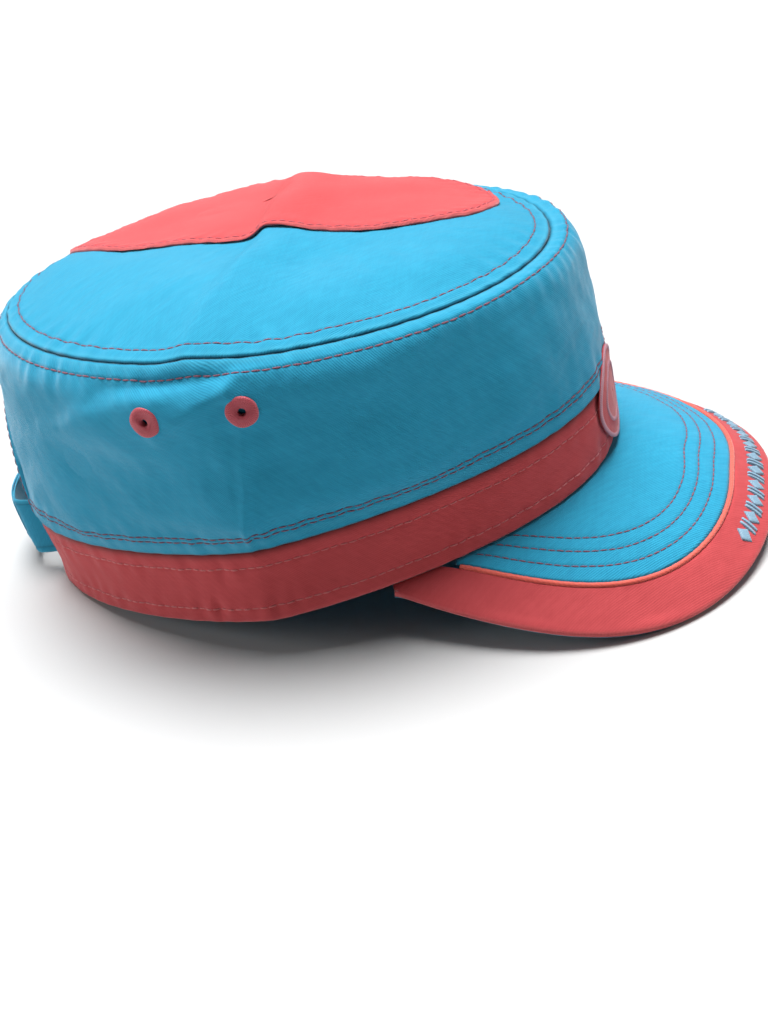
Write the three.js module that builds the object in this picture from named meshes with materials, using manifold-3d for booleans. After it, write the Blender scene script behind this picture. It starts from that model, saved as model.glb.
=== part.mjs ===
// Cadet cap: a flat-topped cloth cap with a coloured band, a curved visor and a half-moon
// back opening under an adjuster strap. It rests on a table, nose up, on the rear of its
// band and on the low sides of its visor.
// Millimetres, +Z up. The front (visor) points along -Y and the wearer's left is +X.
import * as THREE from 'three';
import Module from 'manifold-3d';

// Driving sizes
const CLOTH = 1.8;              // thickness of the sewn crown panels
const BAND_THICKNESS = 2.0;
const BAND_INSET = 0.7;         // the crown's folded edge stands proud of the band
const GAP = 0.3;                // clearance kept between neighbouring pieces
const DOME_HEIGHT = 12.9;       // rise of the top panel above its seam
const DOME_POWER = 3.2;         // a high power keeps the top flat and turns down near the seam
const SIDE_LEAN = 0.047;        // the soft crown has sunk a little toward the wearer's left
const TIP_REACH = 97;           // distance ahead of the middle at which a section's tip is read
const HEEL_FLAT = 1.4;          // cloth pressed flat under the rear ends of the band
const CHIN_FLAT = 0.4;          // cloth pressed flat under the visor

const AROUND = 64;              // steps around the crown
const BACK_CROWDING = 0.35;     // share by which the steps close up at the rear centre
const BACK_GAP_ANGLE = 20;      // half the back opening, in degrees from the rear centre
const SEAM_GAP_LEVELS = 0.015;  // share of a level left open at each seam of the wall
const BACK_ARCH_LEVELS = 2.2;   // how far the half-moon rises, in section levels

const VISOR_CORNER_ANGLE = 60.8; // degrees from the front centre to the visor's corners
const VISOR_REACH = 143;        // front of the visor, ahead of the cap's middle
const VISOR_DROP = 30.3;        // fall of the visor's front below the band
const VISOR_SIDE_DROP = 4.6;    // extra fall half way to the corners
const VISOR_SWELL = 0.24;       // share by which the rim stands wider than its corners
const VISOR_FAN = 2.3;          // how strongly the rulings fan out from the front of the band
const VISOR_SAG = 1.57;         // 1 falls evenly from band to rim, more falls late
const RIM_FRONT_POWER = 0.925;  // powers that round the rim's front, its sides and its fall
const RIM_SIDE_POWER = 0.72;
const RIM_DROP_POWER = 0.67;
const VISOR_LAYER = 1.5;        // upper cloth layer
const VISOR_UNDER = 1.8;        // board and lower cloth layer
const VISOR_TUCK = 2.2;         // how far the visor reaches in under the band
const LAYER_GAP = 0.5;          // clearance between the layers of the curved visor
const EDGE_WIDTH = 15;          // width of the coloured outer panel, over the rim's piping line
const PIPING_RADIUS = 0.8;
const PIPING_SINK = 0.2;        // depth of the cord's centre below the visor's surface

const STRAP_HEIGHT = 19.5;
const STRAP_LIFT = 6.2;         // the strap sits this much above the middle of the band
const STRAP_THICKNESS = 2.0;
const STRAP_BULGE = 7.0;        // the slack strap stands off the back by this much
const STRAP_SLACK_ANGLE = 30;   // the slack would be gone this many degrees from the rear centre
const STRAP_FREE_ANGLE = 12.5;  // the strap hangs free up to here
const STRAP_TUCKED_ANGLE = 19;  // and from here on lies inside the band
const STRAP_END_ANGLE = 27;     // end of each tail, inside the band

const EYELET_RADIUS = 4.7;
const EYELET_HOLE = 1.3;
const EYELET_RISE = 1.1;
const EYELET_STANDOFF = 0.45;   // clears the curved wall under the flat ring
const PATCH_THICKNESS = 1.0;
const PATCH_STANDOFF = 0.6;     // clearance between the front patch and the wall

const TURQUOISE = '#2f9dc4';
const CORAL = '#d0474c';
const BRIGHT_CORAL = '#f2604f';

// Horizontal sections of the body, from the band's foot to the seam of the top panel.
// height: above the band's foot; tip: extra height at the front; length and width: half
// sizes; ahead: shift of the section toward the front; endPower and sidePower: 2 is an
// ellipse, less than 2 on the side power leaves the soft crease at mid length.
const SECTIONS = [
  { height: 0.0, tip: 0.0, length: 99.6, width: 78.8, ahead: -1.2, sidePower: 1.37, endPower: 2.28 },
  { height: 24.3, tip: -1.1, length: 101.0, width: 77.1, ahead: -0.1, sidePower: 1.37, endPower: 2.28 },
  { height: 39.0, tip: -4.0, length: 99.8, width: 81.3, ahead: 1.6, sidePower: 1.5, endPower: 2.2 },
  { height: 57.0, tip: -7.5, length: 98.1, width: 81.8, ahead: 4.1, sidePower: 1.65, endPower: 2.1 },
  { height: 75.5, tip: -11.0, length: 94.6, width: 80.8, ahead: 7.0, sidePower: 1.82, endPower: 2.0 },
  { height: 83.0, tip: -12.7, length: 86.8, width: 73.9, ahead: 8.0, sidePower: 1.95, endPower: 1.95 },
];
const BAND_TOP_LEVEL = 1;
const SEAM_LEVEL = SECTIONS.length - 1;
const SEAM = SECTIONS[SEAM_LEVEL];

// Folds in the side wall. angle: degrees from the front, toward either side; level: place
// between two sections; spread and rise: half sizes in degrees and levels; out: how far
// the cloth stands out (or in, if negative); slant: levels climbed per degree.
const FOLDS = [
  { angle: 97, level: 4.35, spread: 13, rise: 0.35, out: -1.6, slant: 0 },
  { angle: 106, level: 3.7, spread: 26, rise: 0.3, out: 1.3, slant: -0.025 },
  { angle: 112, level: 2.3, spread: 22, rise: 0.8, out: -2.2, slant: 0.01 },
  { angle: 78, level: 2.6, spread: 7, rise: 1.4, out: -1.0, slant: 0 },
  { angle: 55, level: 3.4, spread: 14, rise: 0.5, out: -1.0, slant: -0.03 },
  { angle: 30, level: 2.4, spread: 12, rise: 0.9, out: 0.8, slant: 0 },
  { angle: 150, level: 3.2, spread: 14, rise: 0.8, out: -1.5, slant: 0.02 },
  { angle: 20, level: 4.5, spread: 32, rise: 0.42, out: 2.2, slant: 0 },
];

// The fold that crosses the top from side to side, where the cap was once folded flat
// sway: bow of its line per square millimetre; behind and before: half widths; reach: half
// length; edgeShare: share of the height left at the seams; fadeLevels: fade down the wall.
const RIDGE = {
  ahead: 16, sway: 0.0025, height: 5.0, behind: 6, before: 13, reach: 52, edgeShare: 0.15, fadeLevels: 2,
};

// Outline of the panel sewn on the top: ahead of the middle, and toward the wearer's left
const TOP_PATCH_OUTLINE = [
  { ahead: -67, left: 22 }, { ahead: -52, left: 2 }, { ahead: -28, left: -8 },
  { ahead: 8, left: -12 }, { ahead: 42, left: -12 }, { ahead: 65, left: -3 },
  { ahead: 77, left: 12 }, { ahead: 75, left: 32 }, { ahead: 58, left: 50 },
  { ahead: 25, left: 59 }, { ahead: -12, left: 58 }, { ahead: -46, left: 42 },
];

// Rounded patch at the front, half on the crown and half on the band
// roundness: 1 is a sharp diamond, 2 an ellipse
const FRONT_PATCH = { height: 16, halfWidth: 17, halfHeight: 15, corners: 24, roundness: 1.7 };

// Eyelets on each side: degrees from the front, and level
const EYELETS = [
  { place: 'front', angle: 82.4, level: 3.68 },
  { place: 'rear', angle: 104, level: 3.66 },
];

const radians = (degrees) => degrees * Math.PI / 180;
const signedPower = (value, power) => Math.sign(value) * Math.abs(value) ** power;
const bell = (value) => Math.exp(-value * value);
const steps = (first, last, count) =>
  Array.from({ length: count + 1 }, (_, i) => first + (last - first) * i / count);

// Smooth section at any level between the rows of the table
function sectionAt(level) {
  const last = SECTIONS.length - 1;
  const base = Math.min(Math.floor(Math.max(level, 0)), last - 1);
  const t = Math.min(level, last) - base;
  const row = (i) => SECTIONS[Math.min(Math.max(base + i, 0), last)];
  const section = {};
  for (const key of Object.keys(SECTIONS[0])) {
    const [a, b, c, d] = [row(-1)[key], row(0)[key], row(1)[key], row(2)[key]];
    section[key] = 0.5 * (2 * b + (c - a) * t + (2 * a - 5 * b + 4 * c - d) * t * t
      + (3 * b - a - 3 * c + d) * t ** 3);
  }
  return section;
}

// Height that the crossing fold adds at a place on the top
function ridgeHeight(ahead, left) {
  const distance = ahead - RIDGE.ahead + RIDGE.sway * left * left;
  const width = distance < 0 ? RIDGE.behind : RIDGE.before;
  const share = THREE.MathUtils.lerp(RIDGE.edgeShare, 1, bell(left / RIDGE.reach));
  return RIDGE.height * bell(distance / width) * share;
}

function foldDepth(angle, level) {
  const degrees = Math.abs(THREE.MathUtils.radToDeg(angle));
  return FOLDS.reduce((sum, fold) => {
    const along = degrees - fold.angle;
    const up = level - fold.level - fold.slant * along;
    return sum + fold.out * bell(along / fold.spread) * bell(up / fold.rise);
  }, 0);
}

// Bare body surface: angle 0 at the front, positive toward the wearer's left
function wallPoint(angle, level) {
  const s = sectionAt(level);
  const ahead = s.ahead + s.length * signedPower(Math.cos(angle), 2 / s.sidePower);
  const left = s.width * signedPower(Math.sin(angle), 2 / s.endPower);
  const rise = THREE.MathUtils.clamp((level - BAND_TOP_LEVEL) / (SEAM_LEVEL - BAND_TOP_LEVEL), 0, 1);
  const ridgeShare = THREE.MathUtils.clamp(1 - (SEAM_LEVEL - level) / RIDGE.fadeLevels, 0, 1);
  const height = s.height + s.tip * ahead / TIP_REACH - rise * SIDE_LEAN * left
    + ridgeShare * ridgeHeight(ahead, left);
  return new THREE.Vector3(left, -ahead, height);
}

// Top panel surface at a place given in plan
function topPoint(ahead, left) {
  const share = ((Math.abs(ahead - SEAM.ahead) / SEAM.length) ** SEAM.endPower
    + (Math.abs(left) / SEAM.width) ** SEAM.endPower) ** (1 / SEAM.endPower);
  const height = SEAM.height + SEAM.tip * ahead / TIP_REACH - SIDE_LEAN * left
    + ridgeHeight(ahead, left) + DOME_HEIGHT * (1 - Math.min(share, 1) ** DOME_POWER);
  return new THREE.Vector3(left, -ahead, height);
}

function crossNormal(a0, a1, b0, b1) {
  return a1.sub(a0).cross(b1.sub(b0)).normalize();
}

function wallNormal(angle, level) {
  const turn = 0.01;
  const lift = 0.05;
  const low = Math.max(level - lift, 0);
  const high = Math.min(level + lift, SEAM_LEVEL);
  return crossNormal(wallPoint(angle - turn, level), wallPoint(angle + turn, level),
    wallPoint(angle, low), wallPoint(angle, high));
}

function topNormal(ahead, left) {
  const step = 0.5;
  return crossNormal(topPoint(ahead, left - step), topPoint(ahead, left + step),
    topPoint(ahead + step, left), topPoint(ahead - step, left)).normalize();
}

// Side wall with its folds, moved out along its own normal
function sidePoint(angle, level, out = 0) {
  const fade = THREE.MathUtils.clamp((SEAM_LEVEL - level) * 2, 0, 1)
    * THREE.MathUtils.clamp((level - BAND_TOP_LEVEL) * 2, 0, 1);
  const depth = out + fade * foldDepth(angle, level);
  return wallPoint(angle, level).addScaledVector(wallNormal(angle, level), depth);
}

// Both panels turn in along one shared direction at the seam, so their edges lie parallel.
// It lies half way between the wall's direction and the top's, each read beside the seam.
function seamDirection(angle) {
  const belowSeam = SEAM_LEVEL - 0.1;
  const insideSeam = 0.98;
  const edge = wallPoint(angle, SEAM_LEVEL).multiplyScalar(insideSeam);
  return wallNormal(angle, belowSeam).add(topNormal(-edge.y, edge.x)).normalize();
}

// Closed solid between two grids of points, rows by columns
function sheetSolid(outer, inner, { wraps = false, hub = false } = {}) {
  const rows = outer.length;
  const columns = outer[0].length;
  const points = [...outer.flat(), ...inner.flat()];
  const faces = [];
  const at = (side, row, column) => side * rows * columns + row * columns + column % columns;
  const quad = (a, b, c, d) => faces.push(a, b, c, a, c, d);
  const lastColumn = wraps ? columns : columns - 1;
  for (let row = 0; row < rows - 1; row += 1) {
    for (let column = 0; column < lastColumn; column += 1) {
      quad(at(0, row, column), at(0, row, column + 1), at(0, row + 1, column + 1), at(0, row + 1, column));
      quad(at(1, row, column), at(1, row + 1, column), at(1, row + 1, column + 1), at(1, row, column + 1));
    }
  }
  for (let column = 0; column < lastColumn; column += 1) {
    quad(at(0, 0, column), at(1, 0, column), at(1, 0, column + 1), at(0, 0, column + 1));
    if (!hub) {
      const top = rows - 1;
      quad(at(0, top, column), at(0, top, column + 1), at(1, top, column + 1), at(1, top, column));
    }
  }
  if (!wraps) {
    for (let row = 0; row < rows - 1; row += 1) {
      const end = columns - 1;
      quad(at(0, row, 0), at(0, row + 1, 0), at(1, row + 1, 0), at(1, row, 0));
      quad(at(0, row, end), at(1, row, end), at(1, row + 1, end), at(0, row + 1, end));
    }
  }
  if (hub) {
    [outer, inner].forEach((grid, side) => {
      const ring = grid[rows - 1];
      const middle = ring.reduce((sum, p) => sum.add(p), new THREE.Vector3()).divideScalar(columns);
      points.push(middle);
      const centre = points.length - 1;
      for (let column = 0; column < columns; column += 1) {
        const pair = [at(side, rows - 1, column), at(side, rows - 1, column + 1)];
        faces.push(...(side ? pair.reverse() : pair), centre);
      }
    });
  }
  return facingOut(points, faces);
}

function facingOut(points, faces) {
  let volume = 0;
  for (let i = 0; i < faces.length; i += 3) {
    const [a, b, c] = [points[faces[i]], points[faces[i + 1]], points[faces[i + 2]]];
    volume += a.dot(b.clone().cross(c));
  }
  const ordered = volume < 0 ? faces.toReversed() : faces;
  const geometry = new THREE.BufferGeometry().setFromPoints(points);
  geometry.setIndex(ordered);
  return geometry;
}

// Angles around the crown, drawn closer together toward the back opening
const frontToBack = steps(-180, 180, AROUND).slice(0, AROUND).map(radians)
  .map((angle) => angle + BACK_CROWDING * Math.sin(angle));

// Level of the crown's lower edge: the half-moon opening lifts it at the back
function lowerLevel(angle) {
  const fromRear = 180 - Math.abs(THREE.MathUtils.radToDeg(angle));
  const share = Math.min(fromRear / BACK_GAP_ANGLE, 1);
  return BAND_TOP_LEVEL + BACK_ARCH_LEVELS * Math.sqrt(1 - share ** 2.2);
}

function crownSide() {
  const rows = 9;
  const crowding = 0.85;        // rows lie closer together toward the rounded seam
  const topLevel = SEAM_LEVEL - SEAM_GAP_LEVELS;
  const layer = (depth) => steps(0, 1, rows).map((share) => frontToBack.map((angle) => {
    const level = THREE.MathUtils.lerp(lowerLevel(angle), topLevel, share ** crowding);
    if (share === 1) {
      return wallPoint(angle, level).addScaledVector(seamDirection(angle), -depth);
    }
    return sidePoint(angle, level, -depth);
  }));
  return sheetSolid(layer(0), layer(CLOTH), { wraps: true });
}

// Sheet over the whole top, between two heights above the surface
function topSheet(upper, lower) {
  const rings = [0.9985, 0.965, 0.89, 0.77, 0.62, 0.46, 0.32, 0.2, 0.1];
  const layer = (lift) => rings.map((ring, index) => frontToBack.map((angle) => {
    const edge = wallPoint(angle, SEAM_LEVEL);
    const ahead = SEAM.ahead + (-edge.y - SEAM.ahead) * ring;
    const left = edge.x * ring;
    const out = index === 0 ? seamDirection(angle) : topNormal(ahead, left);
    return topPoint(ahead, left).addScaledVector(out, lift);
  }));
  return sheetSolid(layer(upper), layer(lower), { wraps: true, hub: true });
}

const crownTop = () => topSheet(0, -CLOTH);

function band() {
  const end = 180 - BACK_GAP_ANGLE;
  const angles = steps(-end, end, Math.round(AROUND * end / 180)).map(radians);
  const levels = steps(0, BAND_TOP_LEVEL - SEAM_GAP_LEVELS, 3);
  const layer = (depth) => levels.map((level) => angles.map((angle) =>
    wallPoint(angle, level).addScaledVector(wallNormal(angle, level), -depth)));
  return sheetSolid(layer(BAND_INSET), layer(BAND_INSET + BAND_THICKNESS));
}

// The slack strap spans the back opening. Its tails pass in beside the ends of the band and
// are sewn to the inside of the band.
function backStrap() {
  const places = steps(-STRAP_END_ANGLE, STRAP_END_ANGLE, 36);
  const tucked = -BAND_INSET - BAND_THICKNESS - 2 * GAP;
  const bandHeight = SECTIONS[BAND_TOP_LEVEL].height;
  const low = ((bandHeight - STRAP_HEIGHT) / 2 + STRAP_LIFT) / bandHeight;
  const levels = steps(low, low + STRAP_HEIGHT / bandHeight, 2);
  const layer = (depth) => levels.map((level) => places.map((fromRear) => {
    const slack = STRAP_BULGE * Math.cos(radians(fromRear / STRAP_SLACK_ANGLE * 90));
    const free = GAP + slack + STRAP_THICKNESS - BAND_INSET;
    const share = THREE.MathUtils.smoothstep(Math.abs(fromRear), STRAP_FREE_ANGLE, STRAP_TUCKED_ANGLE);
    const out = THREE.MathUtils.lerp(free, tucked, share) - depth;
    const angle = radians(180 + fromRear);
    return wallPoint(angle, level).addScaledVector(wallNormal(angle, level), out);
  }));
  return sheetSolid(layer(0), layer(STRAP_THICKNESS));
}

// Visor surface: u runs from the right corner (-1) to the left corner (+1), and s from
// the band (0) to the rim (1). Rulings fan out from the band to the rim.
function visorRuling(u) {
  const corner = wallPoint(radians(VISOR_CORNER_ANGLE), 0);
  const footAngle = radians(VISOR_CORNER_ANGLE) * signedPower(u, VISOR_FAN);
  const foot = wallPoint(footAngle, 0).addScaledVector(wallNormal(footAngle, 0), -VISOR_TUCK);
  foot.z = -GAP;
  const turn = u * Math.PI / 2;
  const ahead = -corner.y + (VISOR_REACH + corner.y) * Math.cos(turn) ** RIM_FRONT_POWER;
  const left = corner.x * signedPower(Math.sin(turn), RIM_SIDE_POWER)
    * (1 + VISOR_SWELL * Math.sin(Math.PI * Math.abs(u)));
  const drop = VISOR_DROP * Math.cos(turn) ** RIM_DROP_POWER
    + VISOR_SIDE_DROP * Math.sin(Math.PI * u) ** 2;
  const rim = new THREE.Vector3(left, -ahead, -GAP - drop);
  return { foot, rim, length: foot.distanceTo(rim) };
}

function visorPoint(u, s) {
  const { foot, rim } = visorRuling(u);
  const point = foot.clone().lerp(rim, s);
  point.z = foot.z + (rim.z - foot.z) * s ** VISOR_SAG;
  return point;
}

function visorNormal(u, s) {
  const du = 0.01;
  const ds = 0.02;
  return crossNormal(visorPoint(Math.max(u - du, -1), s), visorPoint(Math.min(u + du, 1), s),
    visorPoint(u, Math.min(s + ds, 1)), visorPoint(u, Math.max(s - ds, 0)));
}

const CHIN_PLACE = 0.35;        // place along the rim that hangs lowest
const VISOR_END = 0.99;         // the corners are trimmed short of the zero-length ruling

// One layer of the visor between two borders, each a share of the ruling at u
function visorSolid(uEnd, from, to, top, thickness, across) {
  const places = steps(-uEnd, uEnd, 34);
  const layer = (depth) => steps(0, 1, across).map((share) => places.map((u) => {
    const s = THREE.MathUtils.lerp(from(u), to(u), share);
    return visorPoint(u, s).addScaledVector(visorNormal(u, s), -depth);
  }));
  return sheetSolid(layer(top), layer(top + thickness));
}

// Share of the ruling that lies inside a line drawn a given width in from the rim
const insideRim = (width) => (u) => Math.max(1 - width / visorRuling(u).length, 0);

// Largest u at which the ruling is still longer than a given width
function reachOf(width) {
  return steps(0, VISOR_END, 200).findLast((u) => visorRuling(u).length > width);
}

const pipingGroove = PIPING_RADIUS + GAP;
const visorUnderside = () =>
  visorSolid(VISOR_END, () => 0, () => 1, VISOR_LAYER + LAYER_GAP, VISOR_UNDER, 5);
const visorPanel = () =>
  visorSolid(reachOf(EDGE_WIDTH + pipingGroove + 2), () => 0, insideRim(EDGE_WIDTH + pipingGroove),
    0, VISOR_LAYER, 3);
const visorEdge = () =>
  visorSolid(VISOR_END, insideRim(EDGE_WIDTH - pipingGroove), () => 1, 0, VISOR_LAYER, 4);

// Round cord laid in the groove between the visor's two upper panels
function visorPiping() {
  const end = reachOf(EDGE_WIDTH + 2 * VISOR_TUCK);
  const sides = 6;
  const sections = steps(-end, end, 36).map((u) => {
    const s = insideRim(EDGE_WIDTH)(u);
    const out = visorNormal(u, s);
    const middle = visorPoint(u, s).addScaledVector(out, -PIPING_SINK);
    const du = 0.01;
    const along = visorPoint(u + du, insideRim(EDGE_WIDTH)(u + du))
      .sub(visorPoint(u - du, insideRim(EDGE_WIDTH)(u - du))).normalize();
    const side = along.clone().cross(out);
    return steps(0, 2 * Math.PI, sides).slice(0, sides).map((turn) => middle.clone()
      .addScaledVector(out, PIPING_RADIUS * Math.sin(turn))
      .addScaledVector(side, PIPING_RADIUS * Math.cos(turn)));
  });
  return tube(sections);
}

// Closed tube through rings of points
function tube(rings) {
  const sides = rings[0].length;
  const points = rings.flat();
  const faces = [];
  for (let ring = 0; ring < rings.length - 1; ring += 1) {
    for (let k = 0; k < sides; k += 1) {
      const [a, b] = [ring * sides + k, ring * sides + (k + 1) % sides];
      faces.push(a, b, b + sides, a, b + sides, a + sides);
    }
  }
  const last = (rings.length - 1) * sides;
  for (let k = 1; k < sides - 1; k += 1) {
    faces.push(0, k + 1, k, last, last + k, last + k + 1);
  }
  return facingOut(points, faces);
}

// Panel on the top, cut by its outline from a sheet that follows the top
function topPatch() {
  const outline = new THREE.CatmullRomCurve3(
    TOP_PATCH_OUTLINE.map(({ ahead, left }) => new THREE.Vector3(left, -ahead, 0)), true, 'centripetal');
  const cutter = new THREE.ExtrudeGeometry(
    new THREE.Shape(outline.getSpacedPoints(40).slice(0, 40).map((p) => new THREE.Vector2(p.x, p.y))),
    { depth: 2 * SEAM.height, bevelEnabled: false });
  const sheet = toSolid(topSheet(GAP + PATCH_THICKNESS, GAP));
  return fromSolid(sheet.intersect(toSolid(welded(cutter))));
}

// Place on the front wall at a height and a distance to the left
function frontPlace(left, height) {
  const level = levelAtHeight(height);
  const s = sectionAt(level);
  const angle = Math.asin(signedPower(left / s.width, s.endPower / 2));
  return { point: sidePoint(angle, level), out: wallNormal(angle, level) };
}

// Rounded patch that follows the front wall from the foot of the band onto the crown
function frontPatch() {
  const { height, halfWidth, halfHeight, corners, roundness } = FRONT_PATCH;
  const turns = steps(0, 2 * Math.PI, corners).slice(0, corners);
  const layer = (lift) => [1, 0.75, 0.5, 0.25].map((ring) => turns.map((turn) => {
    const size = Math.abs(Math.cos(turn)) ** roundness + Math.abs(Math.sin(turn)) ** roundness;
    const reach = ring / size ** (1 / roundness);
    const left = halfWidth * reach * Math.cos(turn);
    const { point, out } = frontPlace(left, height + halfHeight * reach * Math.sin(turn));
    return point.addScaledVector(out, lift);
  }));
  return sheetSolid(layer(PATCH_STANDOFF + PATCH_THICKNESS), layer(PATCH_STANDOFF),
    { wraps: true, hub: true });
}

function levelAtHeight(height) {
  return steps(0, SEAM_LEVEL, 500).find((level) => wallPoint(0, level).z >= height);
}

// Embroidered ring around a small hole, standing on the side wall
function eyelet(side, { angle, level }) {
  const profile = [
    [EYELET_HOLE, 0], [EYELET_RADIUS, 0], [EYELET_RADIUS, 0.4 * EYELET_RISE],
    [0.8 * EYELET_RADIUS, EYELET_RISE], [0.5 * EYELET_RADIUS, EYELET_RISE],
    [EYELET_HOLE, 0.5 * EYELET_RISE], [EYELET_HOLE, 0],
  ].map(([radius, rise]) => new THREE.Vector2(radius, rise));
  const ring = welded(new THREE.LatheGeometry(profile, 12));
  return ring.applyMatrix4(eyeletPlace(side, { angle, level }, EYELET_STANDOFF));
}

function eyeletPlace(side, { angle, level }, lift) {
  const turn = side * radians(angle);
  const out = wallNormal(turn, level);
  const place = sidePoint(turn, level, lift);
  const spin = new THREE.Quaternion().setFromUnitVectors(new THREE.Vector3(0, 1, 0), out);
  return new THREE.Matrix4().compose(place, spin, new THREE.Vector3(1, 1, 1));
}

// Merge equal corners and drop the zero-area faces that a closed profile leaves
function welded(geometry) {
  const position = geometry.attributes.position;
  const index = geometry.index?.array ?? Array.from({ length: position.count }, (_, i) => i);
  const found = new Map();
  const points = [];
  const slots = Array.from({ length: position.count }, (_, i) => {
    const p = new THREE.Vector3().fromBufferAttribute(position, i);
    const key = [p.x, p.y, p.z].map((v) => Math.round(v * 1e4)).join(' ');
    if (!found.has(key)) {
      found.set(key, points.length);
      points.push(p);
    }
    return found.get(key);
  });
  const faces = [];
  for (let i = 0; i < index.length; i += 3) {
    const [a, b, c] = [slots[index[i]], slots[index[i + 1]], slots[index[i + 2]]];
    if (a !== b && b !== c && c !== a) {
      faces.push(a, b, c);
    }
  }
  return facingOut(points, faces);
}

const wasm = await Module();
wasm.setup();

function toSolid(geometry) {
  return new wasm.Manifold(new wasm.Mesh({
    numProp: 3,
    vertProperties: new Float32Array(geometry.attributes.position.array),
    triVerts: new Uint32Array(geometry.index.array),
  }));
}

function fromSolid(solid) {
  const mesh = solid.getMesh();
  const geometry = new THREE.BufferGeometry();
  geometry.setAttribute('position', new THREE.BufferAttribute(mesh.vertProperties, 3));
  geometry.setIndex(new THREE.BufferAttribute(mesh.triVerts, 1));
  return geometry;
}

const sides = [{ name: 'right', sign: -1 }, { name: 'left', sign: 1 }];

// The side wall with a hole punched behind each eyelet
function piercedCrownSide() {
  let wall = toSolid(crownSide());
  for (const { sign } of sides) {
    for (const place of EYELETS) {
      const punch = welded(new THREE.CylinderGeometry(EYELET_HOLE, EYELET_HOLE, 6 * CLOTH, 10));
      punch.applyMatrix4(eyeletPlace(sign, place, 0));
      wall = wall.subtract(toSolid(punch));
    }
  }
  return fromSolid(wall);
}

// The cap rests nose up, on the rear ends of its band and the low front of its visor
const heel = wallPoint(radians(180 - BACK_GAP_ANGLE), 0);
heel.z += HEEL_FLAT;
const chin = visorPoint(CHIN_PLACE, 1)
  .addScaledVector(visorNormal(CHIN_PLACE, 1), -(VISOR_LAYER + LAYER_GAP + VISOR_UNDER));
chin.z += CHIN_FLAT;
const lean = new THREE.Matrix4().makeRotationX(-Math.atan2(heel.z - chin.z, heel.y - chin.y));
const tableHeight = heel.applyMatrix4(lean).z;

// Tilt a piece to the resting angle and press its lowest cloth flat on the table
function settle(geometry) {
  geometry.applyMatrix4(lean);
  const position = geometry.attributes.position;
  for (let i = 0; i < position.count; i += 1) {
    position.setZ(i, Math.max(position.getZ(i), tableHeight) - tableHeight);
  }
  return geometry;
}

const cap = new THREE.Group();

function addPiece(name, geometry, color, roughness = 0.85) {
  const material = new THREE.MeshStandardMaterial({ color, roughness, metalness: 0 });
  const mesh = new THREE.Mesh(settle(geometry), material);
  mesh.name = name;
  cap.add(mesh);
}

addPiece('crown_side', piercedCrownSide(), TURQUOISE);
addPiece('crown_top', crownTop(), TURQUOISE);
addPiece('top_patch', topPatch(), CORAL);
addPiece('band', band(), CORAL);
addPiece('back_strap', backStrap(), TURQUOISE);
addPiece('visor_underside', visorUnderside(), TURQUOISE);
addPiece('visor_panel', visorPanel(), TURQUOISE);
addPiece('visor_edge', visorEdge(), CORAL);
addPiece('visor_piping', visorPiping(), BRIGHT_CORAL, 0.7);
addPiece('front_patch', frontPatch(), CORAL);
for (const { name, sign } of sides) {
  for (const place of EYELETS) {
    addPiece(`eyelet_${name}_${place.place}`, eyelet(sign, place), CORAL, 0.6);
  }
}

// Origin on the table, under the middle of the cap's outline
const extent = new THREE.Box3().setFromObject(cap);
const middle = extent.getCenter(new THREE.Vector3());
cap.position.set(-middle.x, -middle.y, 0);
cap.updateMatrixWorld(true);

export default cap;
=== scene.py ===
# %% [markdown]
# # A cadet cap, sewn in Blender
# The imported model gives the cap as plain solids: the right shape and size, with no cloth
# about it. This lesson dresses each solid in a fine mesh of its own, with hems, stitches,
# puckers and a twill weave. Lengths are worked out in millimetres and turned into metres
# at the last moment, because a sewing room thinks in millimetres.

# %% Load the frame and keep its solids
import math

import bpy
import numpy as np
from mathutils import Matrix, Vector


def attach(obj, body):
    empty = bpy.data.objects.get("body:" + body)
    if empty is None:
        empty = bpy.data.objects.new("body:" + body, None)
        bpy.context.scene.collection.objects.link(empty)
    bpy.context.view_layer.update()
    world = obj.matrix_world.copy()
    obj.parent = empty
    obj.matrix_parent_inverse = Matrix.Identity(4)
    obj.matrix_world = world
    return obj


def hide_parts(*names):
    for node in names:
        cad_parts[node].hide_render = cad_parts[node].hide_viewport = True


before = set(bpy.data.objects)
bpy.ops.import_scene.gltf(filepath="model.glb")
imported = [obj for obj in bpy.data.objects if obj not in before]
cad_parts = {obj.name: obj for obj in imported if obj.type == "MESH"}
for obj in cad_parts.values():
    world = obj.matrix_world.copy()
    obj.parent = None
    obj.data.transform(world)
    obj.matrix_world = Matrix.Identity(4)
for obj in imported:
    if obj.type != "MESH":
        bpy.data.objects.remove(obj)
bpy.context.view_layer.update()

# %% [markdown]
# ## The body of the cap
# A cap has no straight lines, but its horizontal sections are simple: rounded ovals that
# grow, lean and flatten from the head band up to the seam of the top panel. One could
# sculpt such a body. A short table of ovals is easier to keep true to size, and every
# later piece can ask the same table where the cloth is.

# %% Table of sections, in millimetres
# Each row is one oval: its height above the band's foot, extra height at the front, half
# length, half width, shift ahead, and the powers that round its sides and its ends.
SECTION_COLUMNS = ("height", "tip", "length", "width", "ahead", "side_power", "end_power")
SECTION_ROWS = np.array([
    (0.0, 0.0, 99.6, 78.8, -1.2, 1.37, 2.28),
    (24.3, -1.1, 101.0, 77.1, -0.1, 1.37, 2.28),
    (39.0, -4.0, 99.8, 81.3, 1.6, 1.5, 2.2),
    (57.0, -7.5, 98.1, 81.8, 4.1, 1.65, 2.1),
    (75.5, -11.0, 94.6, 80.8, 7.0, 1.82, 2.0),
    (83.0, -12.7, 86.8, 73.9, 8.0, 1.95, 1.95),
])
BAND_TOP = 1.0
SEAM = len(SECTION_ROWS) - 1.0
SEAM_OVAL = dict(zip(SECTION_COLUMNS, SECTION_ROWS[-1]))
TIP_REACH = 97.0
SIDE_LEAN = 0.047


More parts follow.
